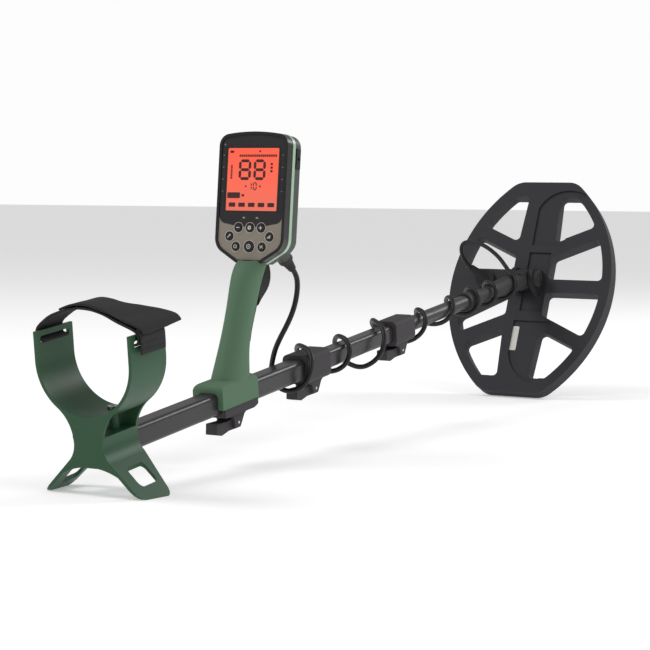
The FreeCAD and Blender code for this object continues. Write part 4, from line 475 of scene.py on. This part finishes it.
@dataclass
class Lead:
    """The coil lead, in four lengths that meet on the shaft."""

    radius: float = 2.75
    per_turn: int = 12
    plug: Place = (20.0, -85.5, -53.76)
    plug_way: Place = (0.0, -0.5, -0.866025)
    plug_reach: float = 8
    drop: tuple[Place, ...] = (
        (19.5, 348.5, 98.0), (17.8, 349.5, 85.0), (14.5, 347.0, 69.0), (8.0, 343.0, 53.0),
        (-2.0, 342.0, 37.0), (-11.0, 345.0, 22.0),
    )
    wound: tuple[Place, ...] = (
        (-0.75, 349.0, 18.5), (-0.5, 352.0, 19.5), (-0.25, 362.0, 22.0), (-0.125, 374.0, 24.6),
        (0.0, 386.0, 22.2), (0.125, 402.0, 24.6), (0.25, 421.0, 20.5), (0.5, 447.0, 17.4),
        (1.0, 473.0, 16.6), (1.25, 495.0, 20.0), (1.5, 517.0, 27.5), (1.75, 538.0, 20.0),
        (2.0, 558.0, 18.0), (2.125, 576.0, 22.4), (2.25, 598.0, 20.6), (2.375, 621.0, 23.8),
        (2.5, 640.0, 20.2), (2.625, 650.0, 16.4), (3.0, 670.0, 13.2), (3.5, 717.0, 13.2),
        (4.0, 760.0, 13.2), (4.5, 800.0, 15.6), (5.0, 822.0, 15.4), (5.5, 862.0, 14.4),
        (6.0, 880.0, 13.6), (6.5, 917.0, 15.4), (7.0, 949.0, 15.8),
    )
    tail: tuple[Place, ...] = (
        (-10.0, 962.0, 20.0), (-24.0, 970.0, 33.0), (-45.0, 976.0, 46.0), (-68.0, 981.0, 52.0),
        (-86.0, 985.0, 46.0),
    )
    gland_foot: Place = (-64.0, 3.0, -17.0)
    gland_way: Place = (-0.57, 0.33, 0.75)
    gland_reach: tuple[int, int] = (42, 27)
    cuts: tuple[float, ...] = (-0.75, 2.25, 4.5)
    lengths: list[list[Vector]] = field(default_factory=list)

    def wound_point(self, turns: float) -> Vector:
        """A point of the wound run.

        Args:
            turns: Turns round the shaft.

        Returns:
            Its place in the shaft's frame, in mm.
        """
        for first, last in zip(self.wound, self.wound[1:]):
            if turns <= last[0]:
                break
        share = (turns - first[0]) / (last[0] - first[0])
        along = first[1] + share * (last[1] - first[1])
        reach = first[2] + share * (last[2] - first[2])
        turn = 2 * math.pi * turns
        return Vector((-reach * math.sin(turn), along, reach * math.cos(turn)))

    def on_shaft(self, along: float) -> Vector:
        """A place on the shaft's axis, given in mm along it."""
        return SHAFT @ Vector((0, along * MM, 0))

    def route(self) -> None:
        """Lay out the four lengths' control points, in metres."""
        first, last = self.wound[0][0], self.wound[-1][0]
        steps = round((last - first) * self.per_turn)
        end = Vector(self.plug)
        free = [POD @ (end * MM), POD @ ((end + Vector(self.plug_way) * self.plug_reach) * MM)]
        free += [SHAFT @ (Vector(point) * MM) for point in self.drop]
        wound = [SHAFT @ (self.wound_point(first + i / self.per_turn) * MM) for i in range(steps + 1)]
        tail = [SHAFT @ (Vector(point) * MM) for point in self.tail]
        foot, way = Vector(self.gland_foot), Vector(self.gland_way).normalized()
        gland = [COIL @ ((foot + way * reach) * MM) for reach in self.gland_reach]
        whole = free + wound + tail + gland
        start, done = [whole[0]], 1
        for turns in self.cuts:
            run = len(free) + round((turns - first) * self.per_turn)
            middle = (whole[run - 1] + whole[run]) / 2
            self.lengths.append(start + whole[done:run] + [middle])
            start, done = [middle], run
        self.lengths.append(start + whole[done:])

    def line(self, name: str, points: list[Vector], thick: float) -> bpy.types.Mesh:
        """A smooth line through a length's control points, bare or as a tube.

        Args:
            name: Name of the length.
            points: Its control points.
            thick: Radius of the tube, or nothing for the bare line.

        Returns:
            The mesh.
        """
        curve = bpy.data.curves.new(name, "CURVE")
        curve.dimensions = "3D"
        curve.resolution_u = 6
        curve.bevel_depth = thick
        curve.bevel_resolution = 4
        curve.use_fill_caps = thick > 0
        spline = curve.splines.new("NURBS")
        spline.points.add(len(points) - 1)
        for control, point in zip(spline.points, points):
            control.co = (*point, 1)
        spline.order_u = 3
        spline.use_endpoint_u = True
        holder = bpy.data.objects.new(name, curve)
        mesh = bpy.data.meshes.new_from_object(holder)
        bpy.data.objects.remove(holder)
        return mesh

    def build(self) -> None:
        """Model the four lengths as tubes, and hide the CAD lengths that they stand for."""
        self.route()
        spans = (
            ("lead_drop", "handle", "upper_shaft", self.lengths[0][0], self.lengths[0][-1]),
            ("lead_upper", "upper_shaft", "middle_shaft", self.on_shaft(424), self.on_shaft(582)),
            ("lead_middle", "middle_shaft", "lower_shaft", self.on_shaft(636), self.on_shaft(794)),
            ("lead_lower", "lower_shaft", "coil", self.lengths[3][-7], self.lengths[3][-1]),
        )
        for points, (node, first, second, start, end) in zip(self.lengths, spans):
            path = [tuple(v.co) for v in self.line(f"{node}_line", points, 0).vertices]
            name = f"{node}_cable"
            piece = bpy.data.objects.new(name, self.line(name, points, self.radius * MM))
            bpy.context.scene.collection.objects.link(piece)
            use(piece)
            bpy.ops.object.shade_smooth_by_angle(angle=math.radians(60))
            dress(piece, LEAD_BLACK)
            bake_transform(piece)
            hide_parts(node)


# ---------------------------------------------------------------- armrest


@dataclass
class Armrest:
    """The cuff, its feet and the strap over it."""

    rim: float = 105.0
    out: float = 53.8
    thick: float = 2.0
    wide: float = 38.0
    depth: float = 54.0
    rise: float = 20.0
    cuff_radius: float = 51.0
    wall: float = 3.0
    strap_room: float = 2.0
    slot_drop: float = 8.0
    stitches: int = 9
    rows: int = 12

    def ribbon(self, name: str, route: list[Point], wide: float, thick: float,
               start: float) -> bpy.types.Object:
        """A flat band that follows a route across the cuff.

        Args:
            name: Name of the piece.
            route: Points across and up, in mm.
            wide: Width of the band along the shaft.
            thick: Its thickness.
            start: Where its rear edge is along the shaft.

        Returns:
            The piece as a mesh.
        """
        curve = bpy.data.curves.new(name, "CURVE")
        curve.dimensions = "3D"
        curve.resolution_u = 8
        spline = curve.splines.new("NURBS")
        spline.points.add(len(route) - 1)
        for control, (across, up) in zip(spline.points, route):
            control.co = (across * MM, start * MM, up * MM, 1)
        spline.order_u = 3
        spline.use_endpoint_u = True
        line = bpy.data.objects.new(name, curve)
        bpy.context.scene.collection.objects.link(line)
        use(line)
        bpy.ops.object.convert(target="MESH")
        piece = bpy.context.view_layer.objects.active
        bpy.ops.object.mode_set(mode="EDIT")
        bpy.ops.mesh.select_all(action="SELECT")
        for _ in range(self.rows):
            bpy.ops.mesh.extrude_region_move(
                TRANSFORM_OT_translate={"value": (0, wide / self.rows * MM, 0)})
        bpy.ops.mesh.select_all(action="SELECT")
        bpy.ops.mesh.normals_make_consistent(inside=False)
        bpy.ops.object.mode_set(mode="OBJECT")
        wall = piece.modifiers.new("wall", "SOLIDIFY")
        wall.thickness = thick * MM
        wall.offset = 0
        bpy.ops.object.modifier_apply(modifier="wall")
        edge = piece.modifiers.new("edge", "BEVEL")
        edge.width = 0.35 * MM
        edge.segments = 2
        edge.limit_method = "ANGLE"
        edge.angle_limit = math.radians(50)
        bpy.ops.object.modifier_apply(modifier="edge")
        settle(piece, SHAFT, 50)
        return piece

    def rumple(self, piece: bpy.types.Object, amount: float, size: float) -> None:
        """Give a band the slight waves of webbing that has seen long use.

        Args:
            piece: The band.
            amount: Height of the waves, in mm.
            size: Length of the waves, in mm.
        """
        clouds = bpy.data.textures.new(f"{piece.name}_waves", "CLOUDS")
        clouds.noise_scale = size * MM
        clouds.noise_depth = 1
        waves = piece.modifiers.new("waves", "DISPLACE")
        waves.texture = clouds
        waves.texture_coords = "LOCAL"
        waves.strength = amount * MM
        waves.mid_level = 0.5
        use(piece)
        bpy.ops.object.modifier_apply(modifier="waves")

    def spread(self, piece: bpy.types.Object, start: float, reach: float, lift: float) -> None:
        """Draw the front edge of the flap out to its free corner.

        Args:
            piece: The flap.
            start: Where the band's rear edge is along the shaft, in mm.
            reach: How far the corner stands out forwards, in mm.
            lift: How far the corner stands up, in mm.
        """
        back = SHAFT.inverted()
        for vertex in piece.data.vertices:
            place = back @ vertex.co
            share = min(max((place.x / MM - 8.0) / 48.0, 0.0), 1.0)
            share = share * share * (3 - 2 * share)
            front = min(max((place.y / MM - start) / self.wide, 0.0), 1.0) ** 1.5
            place.y += reach * MM * share * front
            place.z += lift * MM * share * front
            vertex.co = SHAFT @ place

    def build_strap(self) -> None:
        """The webbing strap: its arch through both slots, the sewn end outside and the flap laid over it."""
        slot, rim, out = self.rim - self.slot_drop, self.rim, self.out
        inside = self.cuff_radius - self.wall - self.strap_room
        start = (self.depth - self.wide) / 2
        arch = [(-inside, slot - 2.0), (-inside - 4, slot - 0.5), (-out + 1.5, slot - 0.5),
                (-out, slot + 2.5), (-out - 0.2, rim + 1.0), (-out * 0.90, rim + 6.5),
                (-out * 0.66, rim + 14.5), (-out * 0.34, rim + self.rise),
                (0.0, rim + self.rise + 1.5), (out * 0.34, rim + self.rise - 3.0),
                (out * 0.62, rim + 10.0), (out * 0.88, rim + 5.0), (out, rim + 1.0), (out, slot + 2.5),
                (out - 1.5, slot - 0.5), (inside + 4, slot - 0.5), (inside, slot - 2.0)]
        strap = self.ribbon("arm_strap_band", arch, self.wide, self.thick, start)
        self.rumple(strap, 1.2, 22)
        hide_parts("arm_strap")
        finished(strap, "upper_shaft", WEBBING)

        sewn = [(out + 2.2, slot - 9.0), (out + 2.6, slot - 4.0), (out + 2.6, slot + 4.0), (out + 2.4, rim),
                (out * 0.98, rim + 5.0)]
        end = self.ribbon("arm_strap_end", sewn, self.wide - 1.0, self.thick, start + 0.5)
        self.rumple(end, 0.8, 18)
        finished(end, "upper_shaft", WEBBING)

        lift = self.thick + 0.4
        flap = [(-out * 0.52, rim + self.rise - 1.0), (-out * 0.30, rim + self.rise + 1.8 + lift),
                (0.0, rim + self.rise + 2.2 + lift), (out * 0.34, rim + self.rise - 2.4 + lift),
                (out * 0.64, rim + 10.8 + lift), (out * 0.90, rim + 6.0 + lift),
                (out + 3.6, rim + 2.5 + lift),
                (out + 5.4, rim - 2.0 + lift)]
        piece = self.ribbon("arm_strap_flap", flap, self.wide - 1.5, self.thick * 0.9, start + 0.75)
        self.spread(piece, start, 24.0, 3.0)
        self.rumple(piece, 1.4, 20)
        finished(piece, "upper_shaft", WEBBING)

    def build_stitches(self) -> None:
        """Two rows of thread across the sewn end."""
        start = (self.depth - self.wide) / 2 + 4.0
        across = self.out + 2.6 + self.thick / 2
        spots = [(across + 0.05, self.rim - 13.0), (across + 0.05, self.rim - 7.5)]
        pieces = []
        for across, up in spots:
            for index in range(self.stitches):
                along = start + index * (self.wide - 8) / (self.stitches - 1)
                clear()
                bpy.ops.mesh.primitive_uv_sphere_add(
                    segments=8, ring_count=6, radius=1.0, location=(across * MM, along * MM, up * MM))
                stitch = bpy.context.view_layer.objects.active
                stitch.scale = (0.6 * MM, 1.3 * MM, 0.35 * MM)
                bpy.ops.object.transform_apply(location=True, rotation=True, scale=True)
                pieces.append(stitch)
        clear()
        for stitch in pieces:
            stitch.select_set(True)
        bpy.context.view_layer.objects.active = pieces[0]
        bpy.ops.object.join()
        row = bpy.context.view_layer.objects.active
        row.name = "strap_stitches"
        settle(row, SHAFT, 80)
        finished(row, "upper_shaft", THREAD)

    def build(self) -> None:
        """Dress the cuff and model the strap."""
        dress_nodes(ARMREST_GREEN, "armrest")
        dress_nodes(STEEL, "armrest_screw")
        dress_nodes(BLACK_PLASTIC, "armrest_block")
        self.build_strap()
        self.build_stitches()


# ---------------------------------------------------------------- shaft and coil


@dataclass
class Shaft:
    """The three tubes, their guides and the cam locks."""

    locks: tuple[str, ...] = ("lock_mid", "lock_low", "clamp")

    def build(self) -> None:
        """Dress the tubes and the locks."""
        dress_nodes(TUBE_PAINT, "upper_tube", "middle_tube")
        dress_nodes(COMPOSITE, "lower_tube")
        dress_nodes(BLACK_PLASTIC, "middle_guide", "lower_guide", "rod_end")
        for lock in self.locks:
            dress_nodes(LOCK_PLASTIC, f"{lock}_body", f"{lock}_lever")
            dress_nodes(STEEL, f"{lock}_pin")
            dress_nodes(SOFT_BLACK, f"{lock}_pad")
        dress_nodes(STEEL, "clamp_screws")


@dataclass
class Coil:
    """The search coil, its windings, its pivot and its plain label."""

    sticker: tuple[float, float, float, float] = (-17.0, -96.0, -3.0, -62.0)
    sticker_corner: float = 1.5
    sticker_foot: float = -20.5
    sticker_top: float = -20.2

    def build(self) -> None:
        """Dress the coil's shells, windings and bolt, and add its label."""
        dress_nodes(COIL_PLASTIC, "coil_shell", "coil_cover")
        dress_nodes(COPPER, "transmit_winding", "receive_winding")
        dress_nodes(SOFT_BLACK, "coil_gland", "tilt_washers")
        dress_nodes(BLACK_PLASTIC, "tilt_bolt", "tilt_nut")
        outline = rounded(*self.sticker, self.sticker_corner)
        label = inlay("coil_sticker", [outline], self.sticker_foot, self.sticker_top, COIL)
        finished(label, "coil", PRINT_PALE)


# ---------------------------------------------------------------- handle and pod


@dataclass
class Handle:
    """The green grip with its black front strip."""

    def build(self) -> None:
        """Dress the grip."""
        dress_nodes(GRIP_GREEN, "handle_shell")
        dress_nodes(SOFT_BLACK, "grip_strip")
        dress_nodes(CELL_WRAP, "battery_cell")


@dataclass
class Pod:
    """The pod's shells, keys and display, with what is printed on them."""

    keys: tuple[tuple[str, float, float, float], ...] = (
        ("minus", -13.3, -48.3, 4.3), ("settings", 0.0, -48.3, 4.3), ("plus", 12.8, -48.3, 4.3),
        ("mode", -23.3, -57.0, 4.3), ("sensitivity", 22.8, -57.0, 4.3), ("power", -15.4, -67.2, 4.3),
        ("detect", 0.0, -67.0, 5.4), ("accept", 14.6, -67.2, 4.3),
    )
    key_top: float = 1.3
    lit: tuple[float, float, float, float] = (-29.2, -31.4, 29.2, 31.0)

    def icon(self, key: str, x: float, y: float) -> Rings:
        """Generic mark of one key.

        Args:
            key: Name of the key.
            x: Middle of the key across.
            y: Middle of the key up.

        Returns:
            Its outlines.
        """
        wide = 0.75
        if key == "minus":
            return [bar(x - 1.9, y - wide / 2, x + 1.9, y + wide / 2)]
        if key == "plus":
            half, arm = wide / 2, 1.9
            return [[(x - arm, y - half), (x - half, y - half), (x - half, y - arm), (x + half, y - arm),
                     (x + half, y - half), (x + arm, y - half), (x + arm, y + half), (x + half, y + half),
                     (x + half, y + arm), (x - half, y + arm), (x - half, y + half), (x - arm, y + half)]]
        if key == "settings":
            teeth = []
            for index in range(32):
                reach = 2.2 if (index // 2) % 2 else 1.65
                turn = 2 * math.pi * index / 32
                teeth.append((x + reach * math.cos(turn), y + reach * math.sin(turn)))
            return [teeth, disc(x, y, 0.8, 20)]
        if key == "mode":
            return [stroke((x - 1.6, y - 1.6), (x + 0.9, y + 0.9), wide), disc(x + 1.35, y + 1.35, 0.7, 16)]
        if key == "sensitivity":
            return [bar(x - 1.9, y - 1.6, x - 1.1, y - 0.2), bar(x - 0.5, y - 1.6, x + 0.3, y + 0.7),
                    bar(x + 0.9, y - 1.6, x + 1.7, y + 1.7)]
        if key == "power":
            return [arc_band(x, y, 1.6, 0.6, 125, 415), bar(x - 0.3, y + 0.5, x + 0.3, y + 2.3)]
        if key == "detect":
            return [disc(x, y, 2.4), disc(x, y, 1.8), disc(x, y, 0.7, 20)]
        return [stroke((x - 1.5, y - 1.5), (x + 1.5, y + 1.5), wide),
                stroke((x - 1.7, y + 1.3), (x - 0.8, y + 0.4), wide),
                stroke((x + 0.8, y - 0.4), (x + 1.7, y - 1.3), wide)]

    def digit(self, left: float, low: float, wide: float, high: float, thick: float, lit: str) -> Rings:
        """One seven-part figure.

        Args:
            left: Left edge.
            low: Foot.
            wide: Width.
            high: Height.
            thick: Thickness of its strokes.
            lit: Which of the parts a to g show.

        Returns:
            Its outlines.
        """
        right, top, mid = left + wide, low + high, low + high / 2
        gap = thick * 0.14
        cut = thick * 0.5
        flat = {"a": top - cut, "g": mid, "d": low + cut}
        upright = {"f": (left + cut, mid, top), "b": (right - cut, mid, top), "e": (left + cut, low, mid),
                   "c": (right - cut, low, mid)}
        rings = []
        for name, level in flat.items():
            if name in lit:
                rings.append([(left + cut + gap, level), (left + thick + gap, level - cut),
                              (right - thick - gap, level - cut), (right - cut - gap, level),
                              (right - thick - gap, level + cut), (left + thick + gap, level + cut)])
        for name, (x, first, last) in upright.items():
            if name in lit:
                foot = first + (0 if first == mid else cut) + gap
                head = last - (0 if last == mid else cut) - gap
                rings.append([(x, foot), (x + cut, foot + cut), (x + cut, head - cut), (x, head),
                              (x - cut, head - cut), (x - cut, foot + cut)])
        return rings

    def build_display(self) -> None:
        """The lit face under the window, and the dark figures on it."""
        lit = inlay("display_face", [rounded(*self.lit, 1.0)], 0.0, 0.06, POD)
        finished(lit, "handle", Glow())
        rings = self.digit(-16.2, -0.9, 14.2, 20.7, 3.0, "abcdefg")
        rings += self.digit(0.9, -0.9, 13.9, 20.7, 3.0, "abcdefg")
        rings += self.digit(-3.6, -11.0, 3.4, 8.0, 1.1, "bc")
        rings += self.digit(1.2, -11.0, 4.2, 8.0, 1.1, "abcdef")
        for index in range(18):
            left = -16.2 + index * 2.43
            rings.append(bar(left, 22.2, left + 1.9, 24.7))
        rings += [disc(7.5, 27.8, 1.1, 20), bar(-27.0, 26.2, -22.8, 28.6), bar(-22.7, 26.9, -22.1, 27.9)]
        for index in range(7):
            rings.append(bar(-25.6, 0.4 + index * 2.05, -23.4, 1.9 + index * 2.05))
        for index, high in enumerate((15.2, 11.6, 8.0)):
            rings.append(rounded(20.2, high - 1.2, 22.8, high + 1.2, 0.5))
        rings += [rounded(-28.2, -19.0, -13.4, -13.2, 0.8), bar(-11.6, -17.2, -8.6, -15.0),
                  disc(-7.2, -7.0, 1.0, 18), disc(9.2, -7.0, 1.0, 18)]
        for index in range(5):
            rings.append(rounded(-26.0 + index * 11.2, -27.6, -18.4 + index * 11.2, -23.4, 0.7))
        ink = inlay("display_figures", rings, 0.06, 0.10, POD)
        finished(ink, "handle", LCD_INK)

    def build_prints(self) -> None:
        """The rings round the keys, the key marks and the small marks beside the display."""
        rings = []
        for _, x, y, radius in self.keys:
            rings += [disc(x, y, radius + 1.15), disc(x, y, radius + 0.75)]
        piece = inlay("key_outlines", rings, 0.0, 0.05, POD)
        finished(piece, "handle", PRINT_PALE)
        for key, x, y, _ in self.keys:
            mark = inlay(f"key_{key}_mark", self.icon(key, x, y), self.key_top - 0.02,
                         self.key_top + 0.05, POD)
            finished(mark, f"key_{key}_cap", PRINT_PALE)
        small = [disc(-33.4, 34.7, 0.8, 18)]
        for level in (24.0, 12.0, 0.0, -12.0):
            small.append(bar(-34.8, level - 0.3, -33.4, level + 0.3))
            small.append(bar(33.4, level - 0.3, 34.8, level + 0.3))
        small += [rounded(-9.0, -39.2, -6.2, -37.6, 0.3), rounded(6.2, -39.2, 9.0, -37.6, 0.3)]
        piece = inlay("face_marks", small, 0.0, 0.04, POD)
        finished(piece, "handle", PRINT_DIM)

    def build(self) -> None:
        """Dress the pod and model what is printed on it."""
        dress_nodes(BEZEL_GREY, "pod_bezel")
        dress_nodes(FACE_DARK, "face_panel")
        dress_nodes(KEYPAD_GREY, "keypad_panel")
        dress_nodes(WINDOW_DARK, "display_window", "display_module")
        dress_nodes(BOARD_GREEN, "circuit_board")
        dress_nodes(TRIM_GREEN, "pod_trim")
        dress_nodes(REAR_GREY, "pod_rear_housing")
        dress_nodes(SOFT_BLACK, "speaker", "socket_block", "lead_plug")
        dress_nodes(BLACK_PLASTIC, "plug_ring")
        dress_nodes(STEEL, "pod_screws")
        dress_nodes(KEY_RUBBER, *[f"key_{key[0]}" for key in self.keys])
        self.build_display()
        self.build_prints()


# ---------------------------------------------------------------- studio


@dataclass
class Studio:
    """Camera, floor and soft light."""

    place: Place = (0.93245, -1.29537, 0.22521)
    azimuth: float = 28.38
    down: float = 4.02
    roll: float = -0.64
    lens: float = 101.36
    ambient: float = 0.42
    sky: float = 0.98
    floor_radius: float = 40
    floor_tone: float = 0.86
    floor_glow: float = 0.34

    def build_camera(self) -> None:
        """Set the camera up."""
        turn, drop, roll = (math.radians(a) for a in (self.azimuth, self.down, self.roll))
        ahead = Vector((-math.sin(turn) * math.cos(drop), math.cos(turn) * math.cos(drop), -math.sin(drop)))
        level = Vector((math.cos(turn), math.sin(turn), 0))
        below = ahead.cross(level)
        right = level * math.cos(roll) + below * math.sin(roll)
        foot = below * math.cos(roll) - level * math.sin(roll)
        data = bpy.data.cameras.new("camera")
        data.lens = self.lens
        data.sensor_width = 36
        camera = bpy.data.objects.new("camera", data)
        bpy.context.scene.collection.objects.link(camera)
        turned = Matrix((right, -foot, -ahead)).transposed().to_4x4()
        camera.matrix_world = Matrix.Translation(SHAFT.translation + Vector(self.place)) @ turned
        bpy.context.scene.camera = camera

    def build_floor(self) -> None:
        """A wide pale floor and a pale surrounding light."""
        clear()
        bpy.ops.mesh.primitive_circle_add(vertices=96, radius=self.floor_radius, fill_type="NGON")
        floor = bpy.context.view_layer.objects.active
        floor.name = "floor"
        material = bpy.data.materials.new("floor_white")
        material.use_nodes = True
        shader = material.node_tree.nodes["Principled BSDF"]
        shader.inputs["Base Color"].default_value = (self.floor_tone, self.floor_tone, self.floor_tone, 1)
        shader.inputs["Roughness"].default_value = 0.85
        shader.inputs["Specular IOR Level"].default_value = 0.1
        shader.inputs["Emission Color"].default_value = (1, 1, 1, 1)
        shader.inputs["Emission Strength"].default_value = self.floor_glow
        floor.data.materials.append(material)
        world = bpy.data.worlds.new("studio")
        world.use_nodes = True
        tree = world.node_tree
        background = tree.nodes["Background"]
        background.inputs["Color"].default_value = (1, 1, 1, 1)
        seen = tree.nodes.new("ShaderNodeLightPath")
        power = tree.nodes.new("ShaderNodeMapRange")
        power.inputs["To Min"].default_value = self.ambient
        power.inputs["To Max"].default_value = self.sky
        tree.links.new(seen.outputs["Is Camera Ray"], power.inputs["Value"])
        tree.links.new(power.outputs["Result"], background.inputs["Strength"])
        bpy.context.scene.world = world
        bpy.context.scene.view_settings.view_transform = "Standard"

    def lamp(self, name: str, place: Place, size: float, power: float) -> None:
        """A soft lamp that looks at the middle of the object.

        Args:
            name: Name of the lamp.
            place: Its place.
            size: Side of its square, in metres.
            power: Its power, in watts.
        """
        data = bpy.data.lights.new(name, "AREA")
        data.size = size
        data.energy = power
        light = bpy.data.objects.new(name, data)
        bpy.context.scene.collection.objects.link(light)
        light.location = place
        way = Vector((0, 0, 0.15)) - Vector(place)
        light.rotation_mode = "QUATERNION"
        light.rotation_quaternion = way.to_track_quat("-Z", "Y")

    def build(self) -> None:
        """Set up the camera, the floor and the lamps."""
        self.build_camera()
        self.build_floor()
        self.lamp("key_light", (-1.8, -1.2, 2.4), 1.4, 34)
        self.lamp("fill_light", (2.4, -0.6, 1.6), 1.2, 14)
        self.lamp("rim_light", (1.2, 2.2, 1.6), 1.0, 22)


def main() -> None:
    """Build the detector's looks in order."""
    logging.basicConfig(level=logging.INFO, format="%(message)s")
    for part in (Studio(), Lead(), Shaft(), Armrest(), Handle(), Pod(), Coil()):
        LOG.info("building %s", type(part).__name__)
        part.build()


if __name__ == "__main__":
    main()
